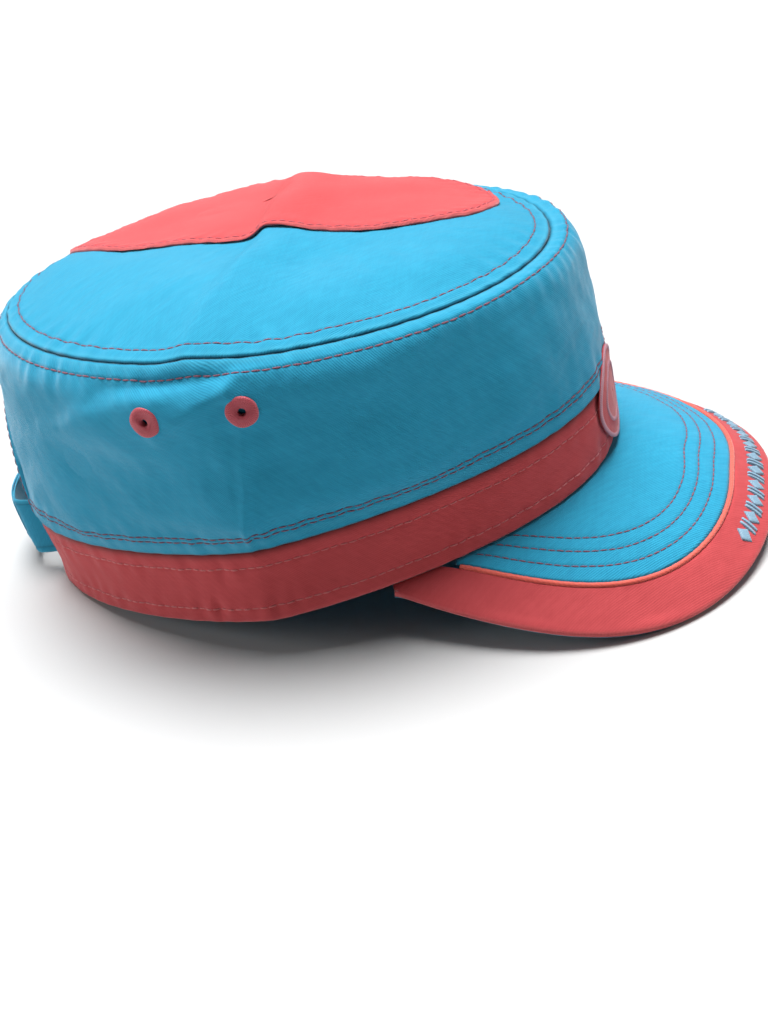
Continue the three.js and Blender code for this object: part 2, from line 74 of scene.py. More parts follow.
def smooth_between(a, b, c, d, t):
    """A curve from b to c as t goes from 0 to 1; a and d, their neighbours, guide it."""
    return 0.5 * (2 * b + (c - a) * t + (2 * a - 5 * b + 4 * c - d) * t**2
                  + (3 * b - a - 3 * c + d) * t**3)


def section_at(level):
    """The oval at any level, smooth between the rows of the table."""
    last = len(SECTION_ROWS) - 1
    level = np.asarray(level, float)
    base = np.clip(np.floor(level), 0, last - 1).astype(int)
    t = (np.minimum(level, last) - base)[..., None]
    a, b, c, d = (SECTION_ROWS[np.clip(base + i, 0, last)] for i in (-1, 0, 1, 2))
    row = smooth_between(a, b, c, d, t)
    return dict(zip(SECTION_COLUMNS, np.moveaxis(row, -1, 0)))


def signed_power(value, power):
    return np.sign(value) * np.abs(value) ** power


def bell(value):
    return np.exp(-value * value)


print("sections:", len(SECTION_ROWS))
print("seam oval:", SEAM_OVAL["length"] * 2, "x", SEAM_OVAL["width"] * 2, "mm")

# %% [markdown]
# ## Where the cloth is
# The wall is asked by angle (0 at the front, positive to the wearer's left) and by level.
# A cap that was once folded flat keeps a low ridge across its top, so both the wall and the
# top panel take it in. A surface's direction comes from three neighbouring points: simple,
# and right for any formula.

# %% Wall, top panel and their directions
RIDGE = {"ahead": 16, "sway": 0.0025, "height": 5.0, "behind": 6, "before": 13, "reach": 52,
         "edge_share": 0.15, "fade_levels": 2}
DOME_HEIGHT = 12.9
DOME_POWER = 3.2


def ridge_height(ahead, left):
    distance = ahead - RIDGE["ahead"] + RIDGE["sway"] * left * left
    width = np.where(distance < 0, RIDGE["behind"], RIDGE["before"])
    share = RIDGE["edge_share"] + (1 - RIDGE["edge_share"]) * bell(left / RIDGE["reach"])
    return RIDGE["height"] * bell(distance / width) * share


def wall_point(angle, level):
    angle, level = np.broadcast_arrays(np.asarray(angle, float), np.asarray(level, float))
    s = section_at(level)
    ahead = s["ahead"] + s["length"] * signed_power(np.cos(angle), 2 / s["side_power"])
    left = s["width"] * signed_power(np.sin(angle), 2 / s["end_power"])
    rise = np.clip((level - BAND_TOP) / (SEAM - BAND_TOP), 0, 1)
    ridge = np.clip(1 - (SEAM - level) / RIDGE["fade_levels"], 0, 1)
    height = (s["height"] + s["tip"] * ahead / TIP_REACH - rise * SIDE_LEAN * left
              + ridge * ridge_height(ahead, left))
    return np.stack([left, -ahead, height], -1)


def top_point(ahead, left):
    ahead, left = np.broadcast_arrays(np.asarray(ahead, float), np.asarray(left, float))
    o = SEAM_OVAL
    share = ((np.abs(ahead - o["ahead"]) / o["length"]) ** o["end_power"]
             + (np.abs(left) / o["width"]) ** o["end_power"]) ** (1 / o["end_power"])
    height = (o["height"] + o["tip"] * ahead / TIP_REACH - SIDE_LEAN * left
              + ridge_height(ahead, left) + DOME_HEIGHT * (1 - np.minimum(share, 1) ** DOME_POWER))
    return np.stack([left, -ahead, height], -1)


def unit(vectors):
    return vectors / np.maximum(np.linalg.norm(vectors, axis=-1, keepdims=True), 1e-12)


def wall_normal(angle, level):
    turn, lift = 0.01, 0.05
    along = wall_point(angle + turn, level) - wall_point(angle - turn, level)
    up = (wall_point(angle, np.minimum(level + lift, SEAM))
          - wall_point(angle, np.maximum(level - lift, 0)))
    return unit(np.cross(along, up))


def top_normal(ahead, left):
    step = 0.5
    across = top_point(ahead, left + step) - top_point(ahead, left - step)
    back = top_point(ahead - step, left) - top_point(ahead + step, left)
    return unit(np.cross(across, back))


def seam_normal(angle):
    """Both panels turn in along one shared direction at the seam."""
    edge = wall_point(angle, SEAM) * 0.98
    return unit(wall_normal(angle, SEAM - 0.1) + top_normal(-edge[..., 1], edge[..., 0]))


print("front of the seam:", wall_point(0.0, SEAM).round(1), "top of the dome:", top_point(8, 0).round(1))

# %% [markdown]
# ## The visor's surface
# The visor fans out from the front of the band: straight rulings run from its foot to its
# rim, and sag a little on the way. Asking for a point by ruling and share of its length
# gives stitch rows that follow the rim, as a machine guide would sew them.

# %% Visor rulings
VISOR_CORNER = math.radians(60.8)
VISOR_REACH, VISOR_DROP, VISOR_SIDE_DROP = 143.0, 30.3, 4.6
VISOR_SWELL, VISOR_FAN, VISOR_SAG = 0.24, 2.3, 1.57
RIM_FRONT_POWER, RIM_SIDE_POWER, RIM_DROP_POWER = 0.925, 0.72, 0.67
VISOR_TUCK, GAP = 2.2, 0.3


def visor_ruling(u):
    """Foot, rim and length of the ruling at u, from -1 at the right corner to 1."""
    u = np.asarray(u, float)
    corner = wall_point(VISOR_CORNER, 0.0)
    foot_angle = VISOR_CORNER * signed_power(u, VISOR_FAN)
    foot = wall_point(foot_angle, 0.0) - VISOR_TUCK * wall_normal(foot_angle, np.zeros_like(u))
    foot[..., 2] = -GAP
    turn = u * math.pi / 2
    cosine = np.maximum(np.cos(turn), 0)
    ahead = -corner[1] + (VISOR_REACH + corner[1]) * cosine**RIM_FRONT_POWER
    left = (corner[0] * signed_power(np.sin(turn), RIM_SIDE_POWER)
            * (1 + VISOR_SWELL * np.sin(math.pi * np.abs(u))))
    drop = VISOR_DROP * cosine**RIM_DROP_POWER + VISOR_SIDE_DROP * np.sin(math.pi * u) ** 2
    rim = np.stack([left, -ahead, -GAP - drop], -1)
    return foot, rim, np.linalg.norm(rim - foot, axis=-1)


def visor_point(u, share):
    foot, rim, _ = visor_ruling(u)
    share = np.asarray(share, float)[..., None]
    point = foot + (rim - foot) * share
    point[..., 2] = foot[..., 2] + (rim[..., 2] - foot[..., 2]) * share[..., 0] ** VISOR_SAG
    return point


def visor_normal(u, share):
    du, ds = 0.01, 0.02
    across = visor_point(np.minimum(u + du, 1), share) - visor_point(np.maximum(u - du, -1), share)
    back = visor_point(u, np.maximum(share - ds, 0)) - visor_point(u, np.minimum(share + ds, 1))
    return unit(np.cross(across, back))


print("visor: ruling at the middle", round(float(visor_ruling(0.0)[2]), 1), "mm long")

# %% [markdown]
# ## From the head to the table
# The formulas hold the cap level. On a table it rests nose up, on the rear of its band and
# the low sides of its visor, and cloth that would sink into the table is pressed flat. One
# function does this to every point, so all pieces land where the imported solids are.

# %% Resting place
HEEL_FLAT, CHIN_FLAT, CHIN_PLACE = 1.4, 0.4, 0.35
VISOR_STACK = 3.8
BACK_GAP = math.radians(20)
MIDDLE = (-0.00313, 16.67919, 0.0)

heel = wall_point(math.pi - BACK_GAP, 0.0) + (0, 0, HEEL_FLAT)
chin = (visor_point(CHIN_PLACE, 1.0) - VISOR_STACK * visor_normal(CHIN_PLACE, 1.0)
        + (0, 0, CHIN_FLAT))
TILT = math.atan2(heel[2] - chin[2], heel[1] - chin[1])
TURN = np.array(Matrix.Rotation(-TILT, 3, "X"))
TABLE = (TURN @ heel)[2]


def at_rest(points):
    """Millimetres on the level cap to metres in the frame, at rest on the table."""
    turned = points @ TURN.T
    turned[..., 2] = np.maximum(turned[..., 2], TABLE) - TABLE
    return (turned + MIDDLE) * 0.001


print("tilt", round(math.degrees(TILT), 2), "degrees; table", round(float(TABLE), 2), "mm")

# %% [markdown]
# ## The camera
# The camera stands to the right of the cap, a little ahead of it and above the table, and
# is held slightly askew, as a hand-held camera is. Its direction is given by three arrows,
# which become the columns of its rotation.

# %% Camera at the photograph's angle
CAMERA_PLACE = Vector((-0.45603, -0.13205, 0.28646))
CAMERA_FORWARD = Vector((0.82369, 0.23959, -0.51394))
CAMERA_RIGHT = Vector((0.18746, -0.97046, -0.15196))
LENS_MM, SENSOR_MM = 56.93, 36.0


def put(name, data):
    """A new object with that data, linked to the scene."""
    made = bpy.data.objects.new(name, data)
    bpy.context.scene.collection.objects.link(made)
    return made


camera_data = bpy.data.cameras.new("camera")
camera_data.lens = LENS_MM
camera_data.sensor_width = SENSOR_MM
camera_data.clip_start = 0.01
camera = put("camera", camera_data)
back = -CAMERA_FORWARD.normalized()
right = (CAMERA_RIGHT - CAMERA_RIGHT.dot(back) * back).normalized()
up = back.cross(right)
camera.matrix_world = Matrix.Translation(CAMERA_PLACE) @ Matrix((right, up, back)).transposed().to_4x4()
bpy.context.scene.camera = camera
print("camera lens", LENS_MM, "mm at", tuple(round(x, 3) for x in CAMERA_PLACE))

# %% [markdown]
# ## Sums with sockets
# Cloth shaders are mostly arithmetic: stripes, masks, a little noise. Written as nodes by
# hand they are long and hard to read. A small class holds one output socket and knows how
# to be added and multiplied, so the shader reads like the sum it is.

# %% A socket that can be used in sums
class Wire:
    """One output socket of a node tree. Python's operators on it add Math nodes."""

    def __init__(self, tree, socket=None):
        self.tree, self.socket = tree, socket

    def node(self, kind, settings=(), sockets=(), output=0):
        """Adds a node: its settings first, then the values or links of its sockets."""
        made = self.tree.nodes.new(kind)
        for name, value in dict(settings).items():
            setattr(made, name, value)
        for name, value in dict(sockets).items():
            if isinstance(value, Wire):
                self.tree.links.new(value.socket, made.inputs[name])
            else:
                made.inputs[name].default_value = value
        return Wire(self.tree, made.outputs[output] if made.outputs else None)

    def maths(self, operation, *values):
        return self.node("ShaderNodeMath", {"operation": operation}, enumerate(values))

    def __add__(self, other):
        return self.maths("ADD", self, other)

    def __sub__(self, other):
        return self.maths("SUBTRACT", self, other)

    def __rsub__(self, other):
        return self.maths("SUBTRACT", other, self)

    def __mul__(self, other):
        return self.maths("MULTIPLY", self, other)

    __radd__ = __add__
    __rmul__ = __mul__

    def sine(self):
        return self.maths("SINE", self)

    def between(self, low, high):
        """0 below low, 1 above high, and smooth between."""
        return self.node("ShaderNodeMapRange", {"interpolation_type": "SMOOTHSTEP"},
                         {"Value": self, "From Min": low, "From Max": high})

    def blend(self, first, second):
        """Goes from the first colour to the second as this value goes from 0 to 1."""
        return self.node("ShaderNodeMix", {"data_type": "RGBA"}, {0: self, 6: first, 7: second}, 2)

    def noise(self, size, detail=2.0, roughness=0.5):
        return self.node("ShaderNodeTexNoise", {}, {
            "Vector": self, "Scale": 1 / size, "Detail": detail, "Roughness": roughness})


print("sums with sockets are ready")

# %% [markdown]
# ## Twill
# The cap is cotton twill: fine diagonal ribs, with yarns that are a little lighter or
# darker than their neighbours. An image would repeat and blur; a formula on the piece's
# own lengthwise and upright measures (kept as a UV map in millimetres) stays crisp. Worn
# edges are lighter, and furrows and seams are painted darker as shade; how worn a point is
# and how much painted shade it has comes from the mesh, as an attribute that goes below
# zero for painted shade.

# %% Twill material
RIB_MM = 0.52
STREAK_MM, SLUB_MM, CLOUD_MM, FUZZ_MM, SWAY_MM = 0.9, 0.8, 34.0, 0.35, 7.0
STREAK_STRETCH, SLUB_STRETCH = 0.12, 0.06
RIB_HEIGHT = 0.00022           # in metres
DIAGONAL = math.sqrt(0.5)
# Painted shade takes the cloth toward its deep colour, darkened to this share.
SHADOW_SHARE = 0.25            # how much of the deep colour is left in a dark line


def empty_material(name):
    """A new material without nodes, and a wire to add them with."""
    material = bpy.data.materials.new(name)
    material.use_nodes = True
    material.node_tree.nodes.clear()
    return material, Wire(material.node_tree)


def cloth_places(wire):
    """Place on the cloth in millimetres: as a vector, then along the piece and up it."""
    place = wire.node("ShaderNodeUVMap", {"uv_map": "cloth"})
    u = wire.node("ShaderNodeSeparateXYZ", sockets={0: place})
    return place, u, Wire(wire.tree, u.socket.node.outputs[1])


def stretched(wire, x, y):
    """A vector of two measures; noise on it is drawn out along the smaller one."""
    return wire.node("ShaderNodeCombineXYZ", sockets={0: x, 1: y})


def twill(name, colour, deep, worn, sheen=0.25, relief=0.55):
    material, wire = empty_material(name)
    place, u, v = cloth_places(wire)
    across = (u + v) * DIAGONAL
    along = (v - u) * DIAGONAL
    streaks = stretched(wire, across, along * STREAK_STRETCH).noise(STREAK_MM, 3.0, 0.6)
    slubs = stretched(wire, u * SLUB_STRETCH, v).noise(SLUB_MM)
    patches = place.noise(CLOUD_MM, 3.0, 0.55)
    fuzz = place.noise(FUZZ_MM, 1.0)
    sway = place.noise(SWAY_MM, 1.0) * 1.6
    rib = (across * (2 * math.pi / RIB_MM) + sway).sine() * 0.5 + 0.5
    wear_and_shade = wire.node("ShaderNodeAttribute", {"attribute_name": "wear_and_shade"}, output=2)
    shade = rib * 0.30 + streaks.between(0.3, 0.7) * 0.34 + slubs.between(0.3, 0.7) * 0.14 + patches * 0.22
    base = shade.blend(deep, colour)
    worn_mask = wear_and_shade * (streaks * 0.5 + 0.6)
    base = worn_mask.blend(base, worn)
    # Below zero the attribute is painted shade: the colour goes toward a darkened deep colour.
    base = (wear_and_shade * -1.0).blend(base, tuple(part * SHADOW_SHARE for part in deep[:3]) + (1,))
    rough = patches * 0.08 + rib * 0.05 + 0.80
    height = rib * 0.55 + streaks * 0.5 + fuzz * 0.35
    bump = wire.node("ShaderNodeBump", sockets={
        "Strength": relief, "Distance": RIB_HEIGHT, "Height": height})
    shader = wire.node("ShaderNodeBsdfPrincipled", sockets={
        "Base Color": base, "Roughness": rough, "Normal": bump, "Sheen Weight": sheen,
        "Sheen Roughness": 0.35, "Specular IOR Level": 0.25})
    wire.node("ShaderNodeOutputMaterial", sockets={"Surface": shader})
    return material


turquoise_twill = twill("turquoise_twill", colour=(0.021, 0.315, 0.49, 1), deep=(0.012, 0.22, 0.37, 1),
                        worn=(0.085, 0.42, 0.58, 1), sheen=0.32)
coral_twill = twill("coral_twill", colour=(0.53, 0.072, 0.078, 1), deep=(0.42, 0.049, 0.054, 1),
                    worn=(0.66, 0.16, 0.16, 1), relief=0.32)
# The same coral cloth, with its colours painted about an eighth darker as shade on the visor's edge.
shaded_edge_twill = twill("shaded_edge_twill", colour=(0.46, 0.06, 0.066, 1), deep=(0.37, 0.042, 0.047, 1),
                   worn=(0.60, 0.14, 0.14, 1), relief=0.32)
lining_twill = twill("lining_twill", colour=(0.07, 0.36, 0.51, 1), deep=(0.05, 0.29, 0.43, 1),
                     worn=(0.16, 0.45, 0.58, 1))
print("twills:", [cloth.name for cloth in (turquoise_twill, coral_twill, shaded_edge_twill, lining_twill)])

# %% [markdown]
# ## Thread and cord
# Sewing thread is two plies twisted together and slightly shiny. At this size a fine
# slanting stripe and a soft gloss say enough. The piping cord is smooth and brighter.

# %% Thread material
TONE_MM = 2.5
PLY_HEIGHT = 0.0001            # in metres


def thread(name, colour, deep, ply_mm=0.5, roughness=0.5, sheen=0.15):
    material, wire = empty_material(name)
    place, u, v = cloth_places(wire)
    twist = ((u + v) * (DIAGONAL * 2 * math.pi / ply_mm)).sine() * 0.5 + 0.5
    tone = place.noise(TONE_MM)
    base = (twist * 0.5 + tone * 0.5).blend(deep, colour)
    bump = wire.node("ShaderNodeBump", sockets={
        "Strength": 0.4, "Distance": PLY_HEIGHT, "Height": twist})
    shader = wire.node("ShaderNodeBsdfPrincipled", sockets={
        "Base Color": base, "Roughness": tone * 0.1 + roughness, "Normal": bump,
        "Sheen Weight": sheen})
    wire.node("ShaderNodeOutputMaterial", sockets={"Surface": shader})
    return material


coral_thread = thread("coral_thread", (0.52, 0.075, 0.10, 1), (0.34, 0.04, 0.06, 1))
crimson_thread = thread("crimson_thread", (0.23, 0.075, 0.12, 1), (0.14, 0.042, 0.075, 1), roughness=0.65)
band_thread = thread("band_thread", (0.62, 0.17, 0.17, 1), (0.48, 0.10, 0.11, 1))
sky_thread = thread("sky_thread", (0.22, 0.36, 0.46, 1), (0.14, 0.25, 0.35, 1), roughness=0.45)
dusty_thread = thread("dusty_thread", (0.50, 0.24, 0.29, 1), (0.38, 0.16, 0.20, 1), roughness=0.6)
piping_cloth = thread("piping_cloth", (0.68, 0.095, 0.06, 1), (0.56, 0.07, 0.05, 1),
                      ply_mm=1.1, roughness=0.6, sheen=0.3)
print("threads:", [yarn.name for yarn in (coral_thread, crimson_thread, band_thread, sky_thread,
                                          dusty_thread, piping_cloth)])

# %% [markdown]
# ## Cloth that isn't quite even
# Real cloth is never flat. A handful of waves with random directions, added up, gives a
# soft unevenness that is the same on every run because the dice are seeded, and that has no
# seam because it is worked out in space and not on a flat pattern.

# %% Soft unevenness and puckers
RIPPLE_WAVES, PUCKER_WAVES = 18, 7


def ripple(points, wavelength, seed):
    """A soft random height, about 1 high, over any points in millimetres."""
    dice = np.random.default_rng(seed)
    total = np.zeros(points.shape[:-1])
    for _ in range(RIPPLE_WAVES):
        direction = unit(dice.normal(size=3)) * 2 * math.pi / (wavelength * dice.uniform(0.7, 1.5))
        total += np.cos(points @ direction + dice.uniform(0, 2 * math.pi))
    return total / math.sqrt(RIPPLE_WAVES / 2)


def pucker(along, pitch, seed):
    """Small gathers along a sewn line, at places given along it in millimetres."""
    dice = np.random.default_rng(seed)
    total = np.zeros_like(along)
    for _ in range(PUCKER_WAVES):
        step = pitch * dice.uniform(0.75, 1.5)
        total += np.cos(along * 2 * math.pi / step + dice.uniform(0, 2 * math.pi))
    return total / math.sqrt(PUCKER_WAVES / 2)


def smooth_step(value, low, high):
    t = np.clip((value - low) / (high - low), 0, 1)
    return t * t * (3 - 2 * t)


print("ripple test:", ripple(np.zeros((1, 3)), 20, 1).round(3))

# %% [markdown]
# ## Building a sewn panel
# Every panel here is a net of points with two sides: the net runs up the outside, turns
# over the edge and comes back down the inside, so it closes on itself like a sleeve laid
# flat. Building the mesh straight from such a net is quick and leaves no stray faces.

# %% Net to mesh
def normals_of(net, wraps):
    """Outward directions of a net of rows and columns."""
    if wraps:
        along = np.roll(net, -1, 1) - np.roll(net, 1, 1)
    else:
        along = np.gradient(net, axis=1)
    return unit(np.cross(along, np.gradient(net, axis=0)))


def facing(directions, sample, axis=2):
    """The same directions, turned round if the sampled one points against the axis."""
    return directions if directions[sample][axis] > 0 else -directions


def run_lengths(net, axis):
    """Distance covered along one axis of a net, starting at 0."""
    step = np.linalg.norm(np.diff(net, axis=axis), axis=-1)
    start = np.zeros_like(np.take(step, [0], axis))
    return np.concatenate([start, np.cumsum(step, axis)], axis)


def build(name, points, faces, uv, wear_and_shade, material, nodes=()):
    """Makes the mesh object, smooth, with its cloth measures, and puts it on the frame."""
    mesh = bpy.data.meshes.new(name)
    mesh.from_pydata(at_rest(points).tolist(), [], faces)
    corner = np.zeros(len(mesh.loops), np.int32)
    mesh.loops.foreach_get("vertex_index", corner)
    layer = mesh.uv_layers.new(name="cloth")
    layer.data.foreach_set("uv", uv[corner].astype(np.float32).ravel())
    # Wear lightens the twill; below zero the same attribute is painted shade.
    attribute = mesh.attributes.new("wear_and_shade", "FLOAT", "POINT")
    attribute.data.foreach_set("value", wear_and_shade.astype(np.float32).ravel())
    mesh.polygons.foreach_set("use_smooth", np.ones(len(mesh.polygons), bool))
    mesh.materials.append(material)
    mesh.validate()
    piece = put(name, mesh)
    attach(piece, "root")
    if nodes:
        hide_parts(*nodes)
    print(name, len(mesh.vertices), "points", len(faces), "faces")
    return piece


def net_faces(rows, columns, wraps, loops):
    """Quads of a net; wraps joins its last column to its first, loops its last row."""
    row = np.arange(rows if loops else rows - 1)
    column = np.arange(columns if wraps else columns - 1)
    r, c = (x.ravel() for x in np.meshgrid(row, column, indexing="ij"))
    r2, c2 = (r + 1) % rows, (c + 1) % columns
    return np.stack([r * columns + c, r * columns + c2, r2 * columns + c2, r2 * columns + c], -1)


def plain_inside(worn, inside):
    """Wear and painted shade on the outside of a panel, and neither on its inside."""
    return np.concatenate([worn, np.zeros_like(inside[..., 0])])


def panel(name, net, uv, wear_and_shade, material, nodes=(), wraps=True, drop=None):
    """A closed panel from a net whose rows run up the outside and down the inside."""
    rows, columns = net.shape[:2]
    faces = net_faces(rows, columns, wraps, True)
    if drop is not None:
        middle = net.reshape(-1, 3)[faces].mean(1)
        faces = faces[~drop(middle)]
    faces = faces.tolist()
    if not wraps:
        first = [r * columns for r in range(rows)]
        last = [r * columns + columns - 1 for r in range(rows)]
        faces += [first, last[::-1]]
    return build(name, net.reshape(-1, 3), faces, uv.reshape(-1, 2), wear_and_shade.ravel(), material, nodes)


print("panel builder is ready")

# %% [markdown]
# ## Sewing a row of stitches
# A lockstitch is a short arch of thread that dives into the cloth at both ends. Curves with
# bevels would do, but a thousand of them are slow. Here each stitch is a small tapered
# bead with six sides, laid along a line on the cloth and sunk into it.

# %% Stitch rows
STITCH_SIDES = 6
STITCH_GAP = 0.1
SAMPLE_STEP = 0.25
# Each ring: share of the stitch's length, share of its radius, and height over the cloth
# in thread radii.
STITCH_RINGS = np.array([(0.0, 0.25, -1.0), (0.10, 0.85, -1 / 15), (0.35, 1.0, 8 / 15),
                         (0.65, 1.0, 8 / 15), (0.90, 0.85, -1 / 15), (1.0, 0.25, -1.0)])


def read_along(wanted, run, values):
    """Values at the wanted distances along a line, column by column."""
    return np.stack([np.interp(wanted, run, column) for column in values.T], -1)


def resampled(line, spacing):
    """Points along a line at even spacing."""
    run = run_lengths(line, 0)
    count = max(int(run[-1] / spacing), 1)
    return read_along(np.linspace(0, run[-1], count + 1), run, line)


def stitch_row(line, out, seed, length=2.8, radius=0.24):
    """Points, faces and measures of a row of stitches along a line on the cloth."""
    dice = np.random.default_rng(seed)
    both = resampled(np.concatenate([line, out], 1), SAMPLE_STEP)
    places, directions = both[:, :3], unit(both[:, 3:])
    run = run_lengths(places, 0)
    starts = np.arange(0, run[-1] - length, length + STITCH_GAP)
    points, uvs, faces = [], [], []
    turns = np.arange(STITCH_SIDES) * 2 * math.pi / STITCH_SIDES
    for start in starts:
        size = radius * dice.uniform(0.9, 1.1)
        aside = dice.normal(0, 0.04)
        at = start + STITCH_RINGS[:, 0] * length
        middle = read_along(at, run, places)
        raised = unit(read_along(at, run, directions))
        ahead = unit(np.gradient(middle, axis=0))
        side = np.cross(ahead, raised)
        middle = middle + raised * STITCH_RINGS[:, 2:3] * radius + side * aside
        rim = size * STITCH_RINGS[:, 1][:, None, None]
        ring = (middle[:, None] + rim * (np.cos(turns)[None, :, None] * side[:, None]
                                         + np.sin(turns)[None, :, None] * raised[:, None]))
        first = len(points) * ring.shape[0] * ring.shape[1]
        faces.append(net_faces(len(STITCH_RINGS), STITCH_SIDES, True, False)[:, ::-1] + first)
        points.append(ring.reshape(-1, 3))
        uvs.append(np.stack([np.repeat(at, STITCH_SIDES), np.tile(turns * radius, len(at))], -1))
    return np.concatenate(points), np.concatenate(faces), np.concatenate(uvs)


def sew(name, rows, material):
    """Joins rows of stitches into one piece."""
    points, faces, uvs, count = [], [], [], 0
    for row_points, row_faces, row_uvs in rows:
        points.append(row_points)
        uvs.append(row_uvs)
        faces += (row_faces + count).tolist()
        count += len(row_points)
    points = np.concatenate(points)
    return build(name, points, faces, np.concatenate(uvs), np.zeros(len(points)), material)


print("stitch:", STITCH_SIDES, "sides,", len(STITCH_RINGS), "rings")

# %% [markdown]
# ## Rows that keep their distance from an edge
# Hems and stitch rows lie a fixed number of millimetres from an edge, however tall the
# panel is there. So each column of the net is measured along the cloth first, and its rows
# are placed by distance: close together near both edges, where the sewing is, and evenly
# in the plain middle.

# %% Measured columns
def row_distances(total, near_start, near_end, middle):
    """Distances for one column of that length: fixed near both edges, even between."""
    near_start, near_end = np.asarray(near_start), np.asarray(near_end)
    fit = min(1.0, 0.9 * total / (near_start[-1] + near_end[-1]))
    low, high = near_start * fit, total - near_end[::-1] * fit
    return np.concatenate([low, np.linspace(low[-1], high[0], middle + 2)[1:-1], high])


def measured_levels(place, starts, end, near_start, near_end, middle):
    """For each column, the levels of its rows, and their distances from both edges."""
    shares = np.linspace(0, 1, 60)
    levels, from_start, from_end = [], [], []
    for column, start in enumerate(starts):
        trial = start + (end - start) * shares
        run = run_lengths(place(column, trial), 0)
        wanted = row_distances(run[-1], near_start, near_end, middle)
        levels.append(np.interp(wanted, run, trial))
        from_start.append(wanted)
        from_end.append(run[-1] - wanted)
    return [np.array(x).T for x in (levels, from_start, from_end)]


print("rows of a 50 mm column:", len(row_distances(50, [0, 1, 3], [0, 1, 3], 10)))

# %% [markdown]
# ## The side wall
# The wall is the soft part of the cap: it has sunk, creased where it was folded, and
# puckers along both seams. Its lower edge is turned up under two close rows of stitches,
# and at the back it rises over the half-moon opening. Its folds come from a short table,
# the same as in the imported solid, so the cloth lies on its solid; sharper creases are
# lines drawn over them.

# %% Folds and the half-moon
FOLDS = [
    {"angle": 97, "level": 4.35, "spread": 13, "rise": 0.35, "out": -1.6, "slant": 0},
    {"angle": 106, "level": 3.7, "spread": 26, "rise": 0.3, "out": 1.3, "slant": -0.025},
    {"angle": 112, "level": 2.3, "spread": 22, "rise": 0.8, "out": -2.2, "slant": 0.01},
    {"angle": 78, "level": 2.6, "spread": 7, "rise": 1.4, "out": -1.0, "slant": 0},
    {"angle": 55, "level": 3.4, "spread": 14, "rise": 0.5, "out": -1.0, "slant": -0.03},
    {"angle": 30, "level": 2.4, "spread": 12, "rise": 0.9, "out": 0.8, "slant": 0},
    {"angle": 150, "level": 3.2, "spread": 14, "rise": 0.8, "out": -1.5, "slant": 0.02},
    {"angle": 20, "level": 4.5, "spread": 32, "rise": 0.42, "out": 2.2, "slant": 0},
]
# Sharper creases, too fine for the solid. path: degrees from the front (negative on
# the right) and level; out: how far the crease stands out; width: in millimetres.
CREASES = [
    {"path": [(-134, 3.25), (-125, 3.42), (-119, 3.64), (-107, 3.98), (-101, 4.05)],
     "out": 0.9, "width": 3.0},
    {"path": [(-104, 3.4), (-95, 3.75), (-90, 3.89), (-86, 4.04), (-83, 4.4)], "out": 0.95, "width": 2.6},
    {"path": [(-112, 4.22), (-96, 4.38), (-88, 4.42)], "out": -0.45, "width": 2.8},
    {"path": [(-84.5, 4.1), (-83, 3.5), (-83.4, 2.95), (-84.5, 2.28), (-88, 1.3)],
     "out": 0.7, "width": 2.6},
    {"path": [(-128, 2.9), (-110, 2.7), (-95, 2.95)], "out": -0.9, "width": 7.0},
    {"path": [(-70, 3.6), (-52, 3.1), (-38, 3.3)], "out": -0.5, "width": 6.0},
    {"path": [(128, 3.3), (112, 3.8), (99, 3.7)], "out": 0.8, "width": 3.2},
    {"path": [(84, 4.2), (86, 2.6), (90, 1.4)], "out": 0.6, "width": 2.8},
]
MM_PER_DEGREE, MM_PER_LEVEL = 1.45, 17.5
SEAM_GAP_LEVELS = 0.015
BACK_ARCH_LEVELS = 2.2
ARCH_POWER = 2.2
CLOTH = 1.8


def wrapped(angle):
    """The same angle, between half a turn to the right and half a turn to the left."""
    return (angle + math.pi) % (2 * math.pi) - math.pi


def fold_depth(angle, level):
    degrees = np.abs(np.degrees(wrapped(angle)))
    total = 0.0
    for fold in FOLDS:
        along = degrees - fold["angle"]
        above = level - fold["level"] - fold["slant"] * along
        total = total + fold["out"] * bell(along / fold["spread"]) * bell(above / fold["rise"])
    fade = np.clip((SEAM - level) * 2, 0, 1) * np.clip((level - BAND_TOP) * 2, 0, 1)
    return total * fade


def crease_relief(angle, level):
    """Height of the sharp creases: each falls off with the distance from its path."""
    place = np.stack([np.degrees(wrapped(angle)) * MM_PER_DEGREE, level * MM_PER_LEVEL], -1)
    total = 0.0
    for crease in CREASES:
        path = np.array(crease["path"]) * (MM_PER_DEGREE, MM_PER_LEVEL)
        nearest = np.full(place.shape[:-1], np.inf)
        for start, end in zip(path[:-1], path[1:]):
            step = end - start
            share = np.clip((place - start) @ step / (step @ step), 0, 1)
            away = place - start - share[..., None] * step
            nearest = np.minimum(nearest, np.linalg.norm(away, axis=-1))
        total = total + crease["out"] * bell(nearest / crease["width"])
    return total


def lower_level(angle):
    from_rear = math.pi - np.abs(wrapped(angle))
    share = np.minimum(from_rear / BACK_GAP, 1)
    return BAND_TOP + BACK_ARCH_LEVELS * np.sqrt(np.maximum(1 - share**ARCH_POWER, 0))


def cap_angles(side_steps, arch_steps):
    """Angles around the cap, closer together where the half-moon turns upright."""
    around = np.linspace(0, math.pi / 2, arch_steps + 1)
    arch = math.pi - BACK_GAP * np.sin(around) ** (2 / ARCH_POWER)
    side = np.linspace(0, arch[-1], side_steps, endpoint=False)
    half = np.concatenate([side, arch[::-1]])
    return np.concatenate([-half[1:-1][::-1], half])


wall_angles = cap_angles(270, 34)
print("columns around the wall:", len(wall_angles))

